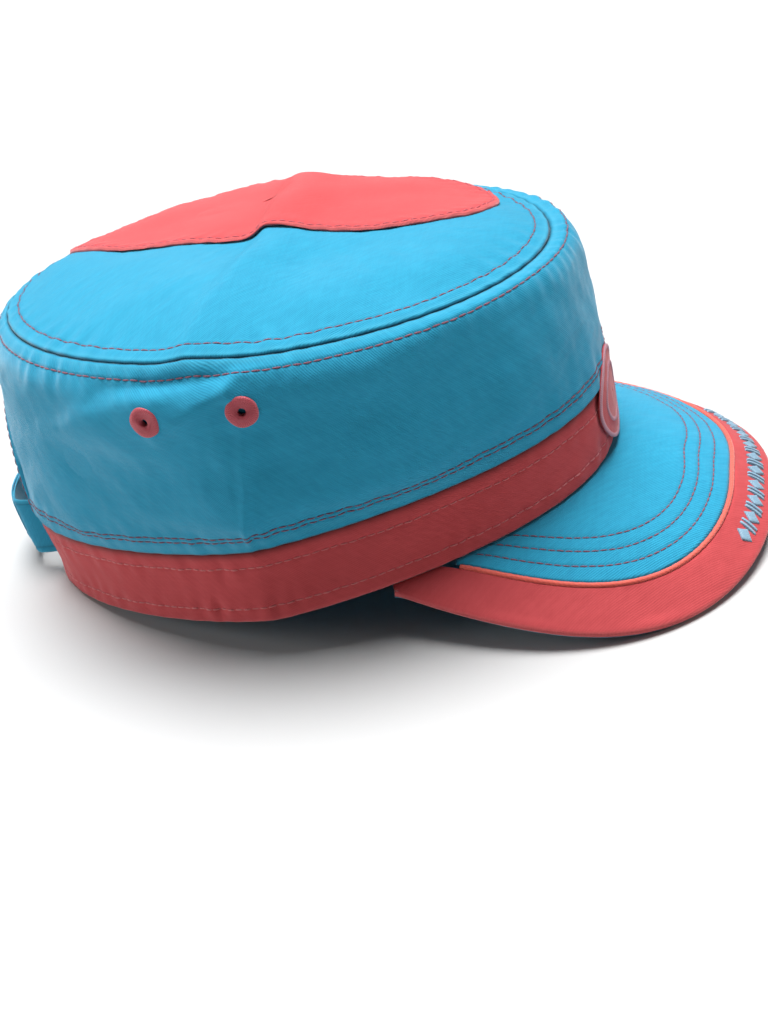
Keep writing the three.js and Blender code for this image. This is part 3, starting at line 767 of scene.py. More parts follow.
# %% Side wall, outside and inside
HEM_ROWS = (5.2, 6.9)          # two needles, above the lower edge
SEAM_ROW = 4.7                 # one needle, each side of the top seam
NEAR_HEM = [0, 0.2, 0.5, 0.9, 1.4, 2.0, 2.8, 3.8, 4.7, 5.2, 5.65, 6.05, 6.45, 6.9, 7.4, 8.0, 9.0, 10.5]
NEAR_SEAM = [0, 0.2, 0.5, 0.9, 1.4, 2.0, 2.8, 3.6, 4.2, 4.7, 5.2, 5.8, 6.6, 7.6, 9.0]


def groove(distance, place, depth=0.3, width=0.42):
    """A stitched line pulls the cloth in."""
    return -depth * bell((distance - place) / width)


def stitch_shade(distance, place):
    """Painted shade: darker cloth right beside the needle's line, where its groove lies in shadow."""
    return -0.45 * bell((distance - place) / 0.4)


def seam_relief(distance, along, pitch, seed):
    """The seam allowance pads the cloth up to the needle's line; the seam is a furrow."""
    padding = 0.32 * (1 - smooth_step(distance, SEAM_ROW - 0.6, SEAM_ROW + 1.6))
    furrow = groove(distance, SEAM_ROW) - 0.65 * bell(distance / 0.42)
    return padding + furrow + 0.17 * pucker(along, pitch, seed) * bell((distance - 5) / 5.5)


def turned_in(out, angles, from_seam):
    """Near the seam, directions go over to the one that both panels share."""
    share = (1 - smooth_step(from_seam, 0, 3))[..., None]
    return unit(out * (1 - share) + seam_normal(angles) * share)


def seam_wear_and_shade(distance):
    """Lighter where the padded edge is worn; painted shade, dark in the furrow and beside the needle's
    line.
    """
    return (0.25 * bell((distance - 1.3) / 0.7) - 0.9 * bell(distance / 0.45)
            + stitch_shade(distance, SEAM_ROW))


levels, from_hem, from_seam = measured_levels(
    lambda column, trial: wall_point(wall_angles[column], trial),
    lower_level(wall_angles), SEAM - SEAM_GAP_LEVELS, NEAR_HEM, NEAR_SEAM, 44)
angles = np.broadcast_to(wall_angles, levels.shape)
bare = wall_point(angles, levels)
wall_out = turned_in(wall_normal(angles, levels), angles, from_seam)
wall_along = run_lengths(wall_point(wall_angles, 2.5), 0)
hem_columns = np.nonzero(lower_level(wall_angles) < BAND_TOP + 0.02)[0]
hem = np.full(len(wall_angles), 0.35)
hem[hem_columns] = 1.0
quiet = smooth_step(from_seam, 0, 14) * smooth_step(from_hem, 0, 12)
folds = fold_depth(angles, levels)
relief = (folds + smooth_step(from_hem, 0, 9) * crease_relief(angles, levels)
          + quiet * (0.55 * ripple(bare, 42, 3) + 0.16 * ripple(bare, 15, 4))
          + 0.05 * ripple(bare, 5.5, 5) + seam_relief(from_seam, wall_along, 7.5, 6)
          + hem * (0.30 * (1 - smooth_step(from_hem, 6.7, 8.8)) + groove(from_hem, HEM_ROWS[0], 0.24)
                   + groove(from_hem, HEM_ROWS[1], 0.30))
          - 0.55 * bell(from_hem / 0.4)
          + 0.13 * pucker(wall_along, 8.0, 7) * bell((from_hem - 6) / 5.5))
wall_net = bare + wall_out * relief[..., None]

inside_rows = np.linspace(len(levels) - 1, 0, 16).astype(int)
wall_inside = bare[inside_rows] + wall_out[inside_rows] * (folds[inside_rows] - CLOTH)[..., None]
net = np.concatenate([wall_net, wall_inside])
v_map = np.concatenate([bare[..., 2], bare[inside_rows][..., 2] + 100])
uv = np.stack([np.broadcast_to(wall_along, v_map.shape), v_map], -1)
# Painted shade: dark in the seam's furrow, along the hem's lower edge and beside the needle lines. The
# turned hem is lighter where it is worn.
worn = (seam_wear_and_shade(from_seam) - 0.9 * bell(from_hem / 0.65)
        + hem * (0.2 * bell((from_hem - 3.0) / 1.4) + sum(stitch_shade(from_hem, row) for row in HEM_ROWS)))

# Each vent: name, side (-1 is the right), angle from the front, and level.
EYELETS = [(side_name + place, side, math.radians(degrees), level)
           for side_name, side in (("right_", -1), ("left_", 1))
           for place, degrees, level in (("front", 82.4, 3.68), ("rear", 104, 3.66))]
HOLE_RADIUS, HOLE_DEPTH = 2.1, 6.0


def eyelet_frame(side, angle, level):
    turn = np.array(side * angle)
    out = wall_normal(turn, np.array(level))
    middle = wall_point(turn, level) + out * fold_depth(turn, level)
    upward = unit(np.array([0, 0, 1.0]) - out[2] * out)
    return middle, out, np.cross(upward, out), upward


def over_eyelets(middles):
    hit = np.zeros(len(middles), bool)
    for _, side, angle, level in EYELETS:
        middle, out, across, upward = eyelet_frame(side, angle, level)
        away = middles - middle
        flat = np.hypot(away @ across, away @ upward)
        hit |= (flat < HOLE_RADIUS) & (np.abs(away @ out) < HOLE_DEPTH)
    return hit


panel("side_wall_cloth", net, uv, plain_inside(worn, wall_inside), turquoise_twill,
      ["crown_side"], drop=over_eyelets)

# %% [markdown]
# ## The top panel
# The top is one oval cut, gently domed, with the old fold running across it. Its net is
# made of rings that run in from the seam, so the topstitching keeps its distance from the
# edge all the way round.

# %% Top panel
top_angles = cap_angles(230, 12)
TOP_MIDDLE = SEAM_OVAL["ahead"]


def top_plan(angle, ring):
    """Place in plan, ahead and left, at a share of the way out to the seam."""
    edge = wall_point(angle, SEAM)
    return TOP_MIDDLE + (-edge[..., 1] - TOP_MIDDLE) * ring, edge[..., 0] * ring


def top_ring_point(angle, ring):
    return top_point(*top_plan(angle, ring))


SMALLEST_RING, LARGEST_RING = 0.0004, 0.9985
rings, _, from_edge = measured_levels(
    lambda column, trial: top_ring_point(np.full(len(trial), top_angles[column]), trial),
    np.full(len(top_angles), SMALLEST_RING), LARGEST_RING, [0, 4.0], NEAR_SEAM, 30)
angles = np.broadcast_to(top_angles, rings.shape)
ahead, left = top_plan(angles, rings)
bare = top_point(ahead, left)
top_out = turned_in(top_normal(ahead, left), angles, from_edge)
top_along = run_lengths(wall_point(top_angles, SEAM), 0)


def top_unevenness(points, from_edge):
    return smooth_step(from_edge, 0, 16) * (0.5 * ripple(points, 48, 11) + 0.14 * ripple(points, 17, 12))


relief = (top_unevenness(bare, from_edge) + 0.05 * ripple(bare, 5.5, 13)
          + seam_relief(from_edge, top_along, 7.0, 14))
top_net = bare + top_out * relief[..., None]
inside_rows = np.linspace(len(rings) - 1, 0, 12).astype(int)
top_inside = bare[inside_rows] - top_out[inside_rows] * CLOTH
net = np.concatenate([top_net, top_inside])
uv = net[..., :2].copy()
uv[len(top_net):] += 400       # another piece of the same cloth
# Painted shade in the seam's furrow and beside its needle line; the padded edge is lighter where worn.
panel("top_panel_cloth", net, uv, plain_inside(seam_wear_and_shade(from_edge), top_inside), turquoise_twill,
      ["crown_top"])

# %% [markdown]
# ## Topstitching of the crown
# The net already has a row of points at each needle's distance, so a stitch row simply
# follows that row.

# %% Crown stitches
wall_normals = normals_of(wall_net, True)
top_normals = facing(normals_of(top_net, True), (-1, 0))


def closed(line):
    return np.concatenate([line, line[:1]])


def row_at(distances, wanted):
    return int(np.abs(distances[:, 0] - wanted).argmin())


rows = []
for seed, distances, net, normals in ((21, from_seam, wall_net, wall_normals),
                                      (22, from_edge, top_net, top_normals)):
    row = row_at(distances, SEAM_ROW)
    rows.append(stitch_row(closed(net[row]), closed(normals[row]), seed))
for seed, distance in enumerate(HEM_ROWS, 23):
    row = row_at(from_hem, distance)
    rows.append(stitch_row(wall_net[row, hem_columns], wall_normals[row, hem_columns], seed))
sew("crown_stitches", rows, crimson_thread)

# %% [markdown]
# ## The band
# The coral band is a straight strip, folded at its foot and sewn under the crown's lower
# edge. Two rows of stitches in its own colour hold it to the sweatband inside, and pull it
# into faint puckers.

# %% Band
BAND_INSET, BAND_THICKNESS = 0.7, 2.0
BAND_ROWS = (5.0, 5.5)         # from the foot, and from the top
NEAR_BAND_FOOT = [0, 0.25, 0.6, 1.0, 1.6, 2.4, 3.4, 4.4, 5.0, 5.6, 6.4]
NEAR_BAND_TOP = [0, 0.5, 1.2, 2.0, 3.0, 4.0, 4.9, 5.5, 6.1, 7.0]
band_end = math.pi - BACK_GAP
band_angles = np.linspace(-band_end, band_end, 520)
levels, from_foot, from_top = measured_levels(
    lambda column, trial: wall_point(band_angles[column], trial),
    np.zeros(len(band_angles)), BAND_TOP - SEAM_GAP_LEVELS, NEAR_BAND_FOOT, NEAR_BAND_TOP, 14)
angles = np.broadcast_to(band_angles, levels.shape)
bare = wall_point(angles, levels)
band_out = wall_normal(angles, levels)
band_along = run_lengths(wall_point(band_angles, 0.5), 0)
band_middle = smooth_step(from_foot, 0, 9) * smooth_step(from_top, 0, 9)
relief = (-BAND_INSET + band_middle * 0.30 * ripple(bare, 26, 31) + 0.05 * ripple(bare, 6, 32)
          + groove(from_foot, BAND_ROWS[0], 0.26) + groove(from_top, BAND_ROWS[1], 0.26)
          + 0.12 * (1 - smooth_step(from_foot, 4.8, 6.8)) - 0.8 * bell(from_foot / 0.45)
          + 0.15 * pucker(band_along, 7.5, 33) * bell((from_foot - 5) / 4)
          + 0.15 * pucker(band_along, 8.5, 34) * bell((from_top - 5.5) / 4))
band_net = bare + band_out * relief[..., None]
inside_rows = np.linspace(len(levels) - 1, 0, 8).astype(int)
band_inside = bare[inside_rows] - band_out[inside_rows] * (BAND_INSET + BAND_THICKNESS)
net = np.concatenate([band_net, band_inside])
v_map = np.concatenate([from_foot, -from_foot[inside_rows]])
uv = np.stack([np.broadcast_to(band_along, v_map.shape), v_map], -1)
# The folded foot is lighter where worn; the band's top is painted darker as shade under the crown's hem.
worn = plain_inside(0.5 * bell(from_foot / 0.9) - 0.9 * bell(from_top / 1.7), band_inside)
panel("band_cloth", net, uv, worn, coral_twill, ["band"], wraps=False)
band_normals = normals_of(band_net, False)
rows = []
for seed, (distances, wanted) in enumerate(((from_foot, BAND_ROWS[0]), (from_top, BAND_ROWS[1])), 41):
    row = row_at(distances, wanted)
    rows.append(stitch_row(band_net[row, 4:-4], band_normals[row, 4:-4], seed))
sew("band_stitches", rows, band_thread)

# %% [markdown]
# ## Sweatband and seam tape
# Inside, a flat strip of lining cloth sits against the band, and a tape covers the top
# seam. They are seen through the half-moon and from below, and they close the hair-thin
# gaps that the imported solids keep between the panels.

# %% Inside strips
def inside_strip(name, angles, low, high, depth, thickness, wraps):
    """A strip of lining between two levels, so many millimetres in from the wall."""
    levels = np.linspace(low, high, 7)[:, None] + np.zeros(len(angles))
    around = np.broadcast_to(angles, levels.shape)
    out = wall_normal(around, levels)
    bare = wall_point(around, levels) + out * np.minimum(fold_depth(around, levels), 0)[..., None]
    swell = 0.18 * ripple(bare, 14, 51)[..., None]
    outer = bare - out * depth
    inner = (bare - out * (depth + thickness) + out * swell)[::-1]
    net = np.concatenate([outer, inner])
    along = run_lengths(wall_point(angles, low), 0)
    v_map = np.concatenate([outer[..., 2], inner[..., 2] - 60])
    uv = np.stack([np.broadcast_to(along, v_map.shape), v_map], -1)
    panel(name, net, uv, np.zeros(v_map.shape), lining_twill, wraps=wraps)


SWEATBAND_END = math.radians(152.4)
inside_strip("sweatband", np.linspace(-SWEATBAND_END, SWEATBAND_END, 420), low=0.03, high=1.12,
             depth=BAND_INSET + BAND_THICKNESS + 0.15, thickness=0.9, wraps=False)
inside_strip("seam_tape", top_angles, low=SEAM - 0.75, high=SEAM - 0.02,
             depth=CLOTH + 0.35, thickness=0.6, wraps=True)

# %% [markdown]
# ## The visor
# The visor is two stiff layers. On top, a turquoise panel meets a coral edge along a bright
# piping, and the coral cloth turns over the rim to meet the lower layer. All three are laid
# by distance from the rim, so the piping runs parallel to it.

# %% Visor nets
VISOR_LAYER = 1.5
EDGE_WIDTH_FRONT, EDGE_WIDTH_SIDE = 13.6, 15.0
VISOR_END = 0.992
PIPING_RADIUS, PIPING_SUNK = 0.8, 0.15


def edge_width(u):
    """Distance from the rim to the piping."""
    return EDGE_WIDTH_FRONT + (EDGE_WIDTH_SIDE - EDGE_WIDTH_FRONT) * np.abs(u) ** 1.5


def share_in(inward, length):
    """Share of a ruling's length at that distance in from the rim."""
    return np.clip(1 - inward / length, 0, 1)


def rim_point(u, inward, depth):
    """A point so far in from the rim along its ruling, and so deep below the top."""
    u, inward, depth = np.broadcast_arrays(u, inward, depth)
    share = share_in(inward, visor_ruling(u)[2])
    return visor_point(u, share) - visor_normal(u, share) * depth[..., None]


def visor_places(end, count):
    """Rulings from corner to corner, closer together near both corners."""
    turn = np.linspace(-1, 1, count)
    return end * np.sin(turn * math.pi / 2) * 0.35 + end * turn * 0.65


def reach_of(width):
    """The last ruling toward the corner that is longer than that width."""
    places = np.linspace(0, VISOR_END, 400)
    return places[np.nonzero(visor_ruling(places)[2] > width)[0][-1]]


VISOR_ROWS = (5.4, 10.4, 15.2)  # three needles, in from the piping
NEAR_PIPING = np.array([0, 0.2, 0.5, 0.9, 1.3, 1.7, 2.3, 3.2, 4.2, 4.9, 5.4, 5.9, 6.6, 7.8, 9.0, 9.9,
                        10.4, 10.9, 11.8, 13.2, 14.6, 15.2, 15.8, 17.2])
panel_end = reach_of(EDGE_WIDTH_SIDE + 3.2)
places = visor_places(panel_end, 300)
length = visor_ruling(places)[2]
inner_edge = edge_width(places) + PIPING_RADIUS - 0.2
room = np.maximum(length - inner_edge, 0.5)
near = np.minimum(NEAR_PIPING[:, None], room)
far = near[-1] + (room - near[-1]) * np.linspace(0, 1, 22)[1:, None]
from_piping = np.concatenate([near, far])
inward = from_piping + inner_edge
bare = rim_point(places, inward, 0.0)
foot_room = room - from_piping
relief = (-0.55 * bell(from_piping / 0.5)
          + sum(groove(from_piping, row, 0.26, 0.4) for row in VISOR_ROWS)
          + smooth_step(foot_room, 0, 10) * (0.18 * ripple(bare, 30, 61) + 0.04 * ripple(bare, 7, 62)))
visor_out = visor_normal(places, share_in(inward, length))
visor_net = bare + visor_out * relief[..., None]
lower = np.linspace(len(inward) - 1, 0, 8).astype(int)
visor_low = bare[lower] - visor_out[lower] * VISOR_LAYER
net = np.concatenate([visor_net, visor_low])
uv = net[..., :2].copy()
# Painted shade beside the piping and beside the needle lines.
worn = sum(stitch_shade(from_piping, row) for row in VISOR_ROWS) - 0.7 * bell(from_piping / 0.5)
panel("visor_panel_cloth", net, uv, plain_inside(worn, visor_low), turquoise_twill,
      ["visor_panel"], wraps=False)

# %% Coral edge of the visor, turned over the rim
# Each pair is a distance, from the piping or in from the rim, and a depth below the top.
EDGE_PROFILE = np.array([(0.0, 1.5), (0.0, 1.0), (0.12, 0.45), (0.45, 0.1), (1.0, 0.0), (2.2, 0.0),
                         (3.4, 0.0)])
RIM_TURN = np.array([(1.2, 0.0), (0.5, 0.12), (0.12, 0.5), (0.0, 1.1), (0.02, 1.9), (0.15, 2.6),
                     (0.5, 3.0), (1.2, 3.05)])
EDGE_UNDER = [1.2, 2.5, 6.0, 10.0]
FOOT_SHARE = 0.98              # on a short ruling the cloth stops just before its foot
edge_places = visor_places(VISOR_END, 420)
edge_length = visor_ruling(edge_places)[2]
edge_start = np.minimum(edge_width(edge_places) - PIPING_RADIUS + 0.35, edge_length)


def full_rows(values):
    """One row of the net for each value, the same in every column."""
    return np.repeat(np.asarray(values, float)[:, None], len(edge_places), 1)


last_aside, first_turn = EDGE_PROFILE[-1, 0], RIM_TURN[0, 0]
share = np.linspace(0, 1, 18)[1:-1, None]
across = (edge_start - last_aside) * (1 - share) + first_turn * share
inward = np.concatenate([np.maximum(edge_start - EDGE_PROFILE[:, :1], 0.9),
                         np.maximum(across, first_turn), full_rows(RIM_TURN[:, 0])])
inward = np.minimum(inward, edge_length * FOOT_SHARE)
depth = full_rows([*EDGE_PROFILE[:, 1], *np.zeros(len(share)), *RIM_TURN[:, 1]])
edge_net = rim_point(edge_places, inward, depth)
on_top = smooth_step(inward, 1.5, 4) * (depth < 0.05)
relief = on_top * (0.14 * ripple(edge_net, 22, 63) + 0.04 * ripple(edge_net, 6, 64))
edge_net += visor_normal(edge_places, share_in(inward, edge_length)) * relief[..., None]
under_in = np.minimum(np.minimum(full_rows(EDGE_UNDER), edge_start), edge_length * FOOT_SHARE)
edge_low = rim_point(edge_places, under_in, VISOR_LAYER)
net = np.concatenate([edge_net, edge_low])[::-1]
worn = plain_inside(0.5 * bell((depth - 0.7) / 0.9) * (inward < 1.0), edge_low)[::-1]
panel("visor_edge_cloth", net, net[..., :2].copy(), worn, shaded_edge_twill, ["visor_edge"],
      wraps=False)

# %% Lower layer of the visor
# The first pair is the upper side of this layer, the last one its lower side.
LOWER_PROFILE = np.array([(1.6, 2.0), (0.9, 2.3), (0.4, 2.9), (0.25, 3.3), (0.5, 3.7), (1.1, VISOR_STACK)])
to_foot, to_rim = np.linspace(0, 1, 24)[1:, None], np.linspace(1, 0, 8)[:-1, None]
upper_in, lower_in = LOWER_PROFILE[0, 0], LOWER_PROFILE[-1, 0]
inward = np.concatenate([full_rows(LOWER_PROFILE[:, 0]), lower_in + (edge_length - lower_in) * to_foot,
                         upper_in + (edge_length - upper_in) * to_rim])
inward = np.minimum(inward, edge_length)
depth = full_rows([*LOWER_PROFILE[:, 1], *[LOWER_PROFILE[-1, 1]] * len(to_foot),
                   *[LOWER_PROFILE[0, 1]] * len(to_rim)])
net = rim_point(edge_places, inward, depth)
panel("visor_lower_cloth", net, net[..., :2].copy(), np.zeros(inward.shape), turquoise_twill,
      ["visor_underside"], wraps=False)

# %% [markdown]
# ## Piping
# Piping is a thin cord wrapped in bias cloth and caught in the seam. A ring of points is
# carried along the seam line from corner to corner, and both ends are closed.

# %% Piping and visor stitches
def tube(line, out, radius, sides=10):
    """Net of a round cord along a line."""
    ahead = unit(np.gradient(line, axis=0))
    side = unit(np.cross(ahead, out))
    turns = np.arange(sides) * 2 * math.pi / sides
    radius = np.broadcast_to(radius, len(line))[:, None, None]
    return line[:, None] + radius * (np.cos(turns)[None, :, None] * side[:, None]
                                     + np.sin(turns)[None, :, None] * unit(out)[:, None])


piping_end = reach_of(EDGE_WIDTH_SIDE + 4.4)
piping_places = visor_places(piping_end, 420)
piping_out = visor_normal(piping_places, 1 - edge_width(piping_places) / visor_ruling(piping_places)[2])
piping_line = rim_point(piping_places, edge_width(piping_places), PIPING_SUNK)
piping_run = run_lengths(piping_line, 0)
piping_net = tube(piping_line, piping_out, PIPING_RADIUS * (1 + 0.03 * pucker(piping_run, 3, 65)))
columns = piping_net.shape[1]
faces = net_faces(*piping_net.shape[:2], True, False)[:, ::-1].tolist()
faces += [list(range(columns)), [len(piping_net) * columns - 1 - i for i in range(columns)]]
piping_uv = np.stack([np.repeat(piping_run, columns),
                      np.tile(np.arange(columns) * 0.5, len(piping_line))], -1)
build("visor_piping_cord", piping_net.reshape(-1, 3), faces, piping_uv,
      np.zeros(piping_net.shape[0] * columns), piping_cloth, ["visor_piping"])

visor_normals = facing(normals_of(visor_net, False), (5, 150))
rows = []
for seed, distance in enumerate(VISOR_ROWS, 71):
    row = int(np.abs(NEAR_PIPING - distance).argmin())
    columns_with_room = np.nonzero(room > distance + VISOR_TUCK)[0]
    rows.append(stitch_row(visor_net[row, columns_with_room], visor_normals[row, columns_with_room],
                           seed, length=2.5))
sew("visor_stitches", rows, crimson_thread)

# %% [markdown]
# ## The half-moon's binding
# The cut edge of the half-moon is covered by a narrow strip folded over it. The strip's
# little cross-section is carried along the edge: out of the edge's own direction and the
# wall's direction comes a third, which points into the cloth.

# %% Binding of the half-moon
# Each pair is a distance into the cloth and a height over it, going round the folded strip.
BINDING_PROFILE = np.array([(1.7, -0.1), (1.6, 0.22), (1.2, 0.3), (0.6, 0.3), (0.1, 0.26), (-0.2, 0.05),
                            (-0.35, -0.5), (-0.35, -1.3), (-0.2, -1.85), (0.2, -2.1), (1.5, -2.15),
                            (3.4, -2.1), (3.6, -1.9)])
BINDING_ROW = (0.9, 0.3)       # where its needle runs
arch_turn = np.linspace(-math.pi / 2, math.pi / 2, 180)
arch_angles = math.pi + BACK_GAP * signed_power(np.sin(arch_turn), 2 / ARCH_POWER)
arch_levels = BAND_TOP + BACK_ARCH_LEVELS * np.cos(arch_turn)
arch_out = wall_normal(arch_angles, arch_levels)
arch_edge = wall_point(arch_angles, arch_levels) + arch_out * fold_depth(arch_angles, arch_levels)[:, None]
into_cloth = facing(unit(np.cross(arch_out, np.gradient(arch_edge, axis=0))), len(arch_turn) // 2)


def on_binding(inward, lift):
    return arch_edge + into_cloth * inward + arch_out * lift


net = np.stack([on_binding(inward, lift) for inward, lift in BINDING_PROFILE])
around_fold = run_lengths(BINDING_PROFILE[:, None], 0)
uv = np.stack(np.broadcast_arrays(run_lengths(arch_edge, 0), around_fold), -1)
panel("half_moon_binding", net, uv, np.zeros(net.shape[:2]), turquoise_twill,
      wraps=False)
sew("half_moon_stitches", [stitch_row(on_binding(*BINDING_ROW), arch_out, seed=77)], crimson_thread)

# %% [markdown]
# ## The strap
# The adjuster is two tails that lap over each other behind the half-moon and hold with a
# hook-and-loop strip. Each is sewn inside the band, passes out through the opening and
# hangs slack, so it stands off the back of the head.

# %% Adjuster strap
STRAP_HEIGHT, STRAP_LIFT, STRAP_THICKNESS, STRAP_BULGE = 19.5, 6.2, 2.0, 7.0
STRAP_SLACK_ANGLE, STRAP_FREE_ANGLE, STRAP_TUCKED_ANGLE, STRAP_END_ANGLE = 30.0, 12.5, 19.0, 27.0
BAND_HEIGHT = SECTION_ROWS[1][0]
strap_low = ((BAND_HEIGHT - STRAP_HEIGHT) / 2 + STRAP_LIFT) / BAND_HEIGHT
strap_high = strap_low + STRAP_HEIGHT / BAND_HEIGHT
strap_tucked = -BAND_INSET - BAND_THICKNESS - 2 * GAP - STRAP_THICKNESS
STRAP_SHARES = np.array([0, 0.015, 0.045, 0.08, 0.1026, 0.13, 0.2, 0.35, 0.5, 0.65, 0.8, 0.87, 0.8974,
                         0.92, 0.955, 0.985, 1.0])
STRAP_NEEDLE = 2.0             # the needle's distance from both edges
STRAP_ROWS = (4, 12)           # where that is in the list of shares
STRAP_ROUNDING = 3.4           # degrees over which the free end is rounded


def strap_tail(name, start, end, out_from, out_to, round_end):
    """One tail of the strap, between two angles from the rear centre, in degrees."""
    from_rear = np.linspace(start, end, 150)
    shares = STRAP_SHARES[:, None]
    levels = strap_low + (strap_high - strap_low) * shares + np.zeros(len(from_rear))
    if round_end:
        tip = np.minimum(np.abs(from_rear - end) / STRAP_ROUNDING, 1)
        pinch = np.sqrt(np.clip(1 - (1 - tip) ** 2, 0.02, 1))
        middle = (strap_low + strap_high) / 2
        levels = middle + (levels - middle) * (0.45 + 0.55 * pinch)
    around = math.pi + np.radians(np.broadcast_to(from_rear, levels.shape))
    bare, out = wall_point(around, levels), wall_normal(around, levels)
    slack = GAP - BAND_INSET + STRAP_BULGE * np.cos(np.radians(from_rear / STRAP_SLACK_ANGLE * 90))
    tucked = smooth_step(np.abs(from_rear), STRAP_FREE_ANGLE, STRAP_TUCKED_ANGLE)
    base = slack + (strap_tucked - slack) * tucked
    edge = np.minimum(shares, 1 - shares) * STRAP_HEIGHT
    dip = -0.35 * bell(edge / 0.5) + groove(edge, STRAP_NEEDLE, 0.22, 0.5) + 0.08 * ripple(bare, 12, 81)
    outer = bare + out * (base + out_to + dip)[..., None]
    inner = (bare + out * (base + out_from)[:, None])[::-1]
    net = np.concatenate([outer, inner])
    along = run_lengths(outer[len(shares) // 2], 0)
    v_map = np.concatenate([shares * STRAP_HEIGHT, shares[::-1] * STRAP_HEIGHT + 40])
    uv = np.stack(np.broadcast_arrays(along, v_map), -1)
    # The strap's edges are lighter where worn; painted shade lies beside its needle line.
    worn = np.broadcast_to(0.4 * bell(edge / 0.8) + stitch_shade(edge, STRAP_NEEDLE), around.shape)
    worn = plain_inside(worn, inner)
    piece = panel(name, net, uv, worn, turquoise_twill, wraps=False)
    return piece, outer, facing(normals_of(outer, False), (8, 75), axis=1)


strap_tail("strap_right_tail", STRAP_END_ANGLE, -9.0, 0.0, 0.95, False)
over_tail, over_net, over_normals = strap_tail("strap_left_tail", -STRAP_END_ANGLE, 10.0, 1.0, 2.0, True)
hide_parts("back_strap")
rows = [stitch_row(over_net[row, 2:-4], over_normals[row, 2:-4], seed=83 + row) for row in STRAP_ROWS]
tip_column = len(over_net[0]) - 9
tip_rows = slice(STRAP_ROWS[0], STRAP_ROWS[1] + 1)
rows.append(stitch_row(over_net[tip_rows, tip_column], over_normals[tip_rows, tip_column], seed=84))
sew("strap_stitches", rows, crimson_thread)
print("strap from", over_net.min().round(1), "to", over_net.max().round(1), "mm")

# %% [markdown]
# ## Top patch
# A second colour is laid on the top: a panel cut to a listed outline, turned under and edge stitched.
# It follows the dome, and its folded edge stands a little proud, which gives the thin
# shadow that one sees around it.

# %% Top patch
TOP_PATCH_OUTLINE = [(-67, 22), (-52, 2), (-28, -8), (8, -12), (42, -12), (65, -3),
                     (77, 12), (75, 32), (58, 50), (25, 59), (-12, 58), (-46, 42)]
NEAR_RIM = np.array([0, 0.15, 0.4, 0.8, 1.3, 1.8, 2.4, 3.2, 4.5, 6.5, 9.0])
TOP_PATCH_ROW = 5              # place in that list where the needle runs
TOP_PATCH_CLOTH = 1.15


def smooth_loop(points, count):
    """A closed curve through the points, evenly walked."""
    p = np.asarray(points, float)
    n = len(p)
    t = np.linspace(0, n, n * 40, endpoint=False)
    i, f = t.astype(int), (t % 1)[:, None]
    ring = closed(smooth_between(*(p[(i + k) % n] for k in (-1, 0, 1, 2)), f))
    run = run_lengths(ring, 0)
    return read_along(np.linspace(0, run[-1], count, endpoint=False), run, ring)


outline = smooth_loop(TOP_PATCH_OUTLINE, 420)
centre = outline.mean(0)
reach = np.linalg.norm(outline - centre, axis=1)
ring = 1 - NEAR_RIM[:, None] / reach
ring = np.concatenate([ring, ring[-1] * np.linspace(1, 0.0005, 24)[1:, None]])
plan = centre + (outline - centre) * ring[..., None]
from_rim = (1 - ring) * reach
ahead, left = plan[..., 0], plan[..., 1]
bare = top_point(ahead, left)
patch_out = top_normal(ahead, left)
seam_away = SEAM_OVAL["width"] * (1 - np.hypot((ahead - TOP_MIDDLE) / SEAM_OVAL["length"],
                                               left / SEAM_OVAL["width"]))
lift = (TOP_PATCH_CLOTH - 0.75 * bell(from_rim / 0.4)
        + groove(from_rim, NEAR_RIM[TOP_PATCH_ROW], 0.22, 0.4)
        + 0.25 * (1 - smooth_step(from_rim, 4.5, 7)) + top_unevenness(bare, seam_away)
        + 0.10 * pucker(run_lengths(bare[0], 0), 7, 91) * bell((from_rim - 2) / 4))
patch_net = bare + patch_out * lift[..., None]
patch_low = bare[:-1:6][::-1] + patch_out[:-1:6][::-1] * 0.2
net = np.concatenate([patch_net[::-1], patch_low[::-1]])
worn = plain_inside((0.7 * bell(from_rim / 0.9))[::-1], patch_low)
panel("top_patch_cloth", net, net[..., :2].copy(), worn, coral_twill, ["top_patch"])
patch_normals = facing(normals_of(patch_net, True), (-5, 0))
needle_line, needle_out = closed(patch_net[TOP_PATCH_ROW]), closed(patch_normals[TOP_PATCH_ROW])
sew("top_patch_stitches", [stitch_row(needle_line, needle_out, seed=92, radius=0.26)], coral_thread)

# %% [markdown]
# ## Front patch
# A rounded patch at the front covers the height of the band, reaches a little way up the
# crown and follows the wall. Its border and an inner ring are satin stitch: close parallel
# threads, each a small ridge.

# %% Front patch
FRONT_PATCH = {"height": 16, "half_width": 17, "half_height": 15, "roundness": 1.7, "cloth": 0.85}
level_table = np.linspace(0, SEAM, 600)
height_table = wall_point(0.0, level_table)[:, 2]


def patch_rim(count):
    """The patch's outline at even turns, left and up, in shares of its half sizes."""
    turns = np.linspace(0, 2 * math.pi, count, endpoint=False)
    roundness = FRONT_PATCH["roundness"]
    reach = (np.abs(np.cos(turns)) ** roundness + np.abs(np.sin(turns)) ** roundness) ** (-1 / roundness)
    return reach * np.cos(turns), reach * np.sin(turns)


def front_point(left, up):
    """Place and direction on the front wall, left and up in shares of the half sizes."""
    left = FRONT_PATCH["half_width"] * left
    height = FRONT_PATCH["height"] + FRONT_PATCH["half_height"] * up
    level = np.interp(height, height_table, level_table)
    s = section_at(level)
    angle = np.arcsin(signed_power(left / s["width"], s["end_power"] / 2))
    out = wall_normal(angle, level)
    return wall_point(angle, level) + out * fold_depth(angle, level)[..., None], out


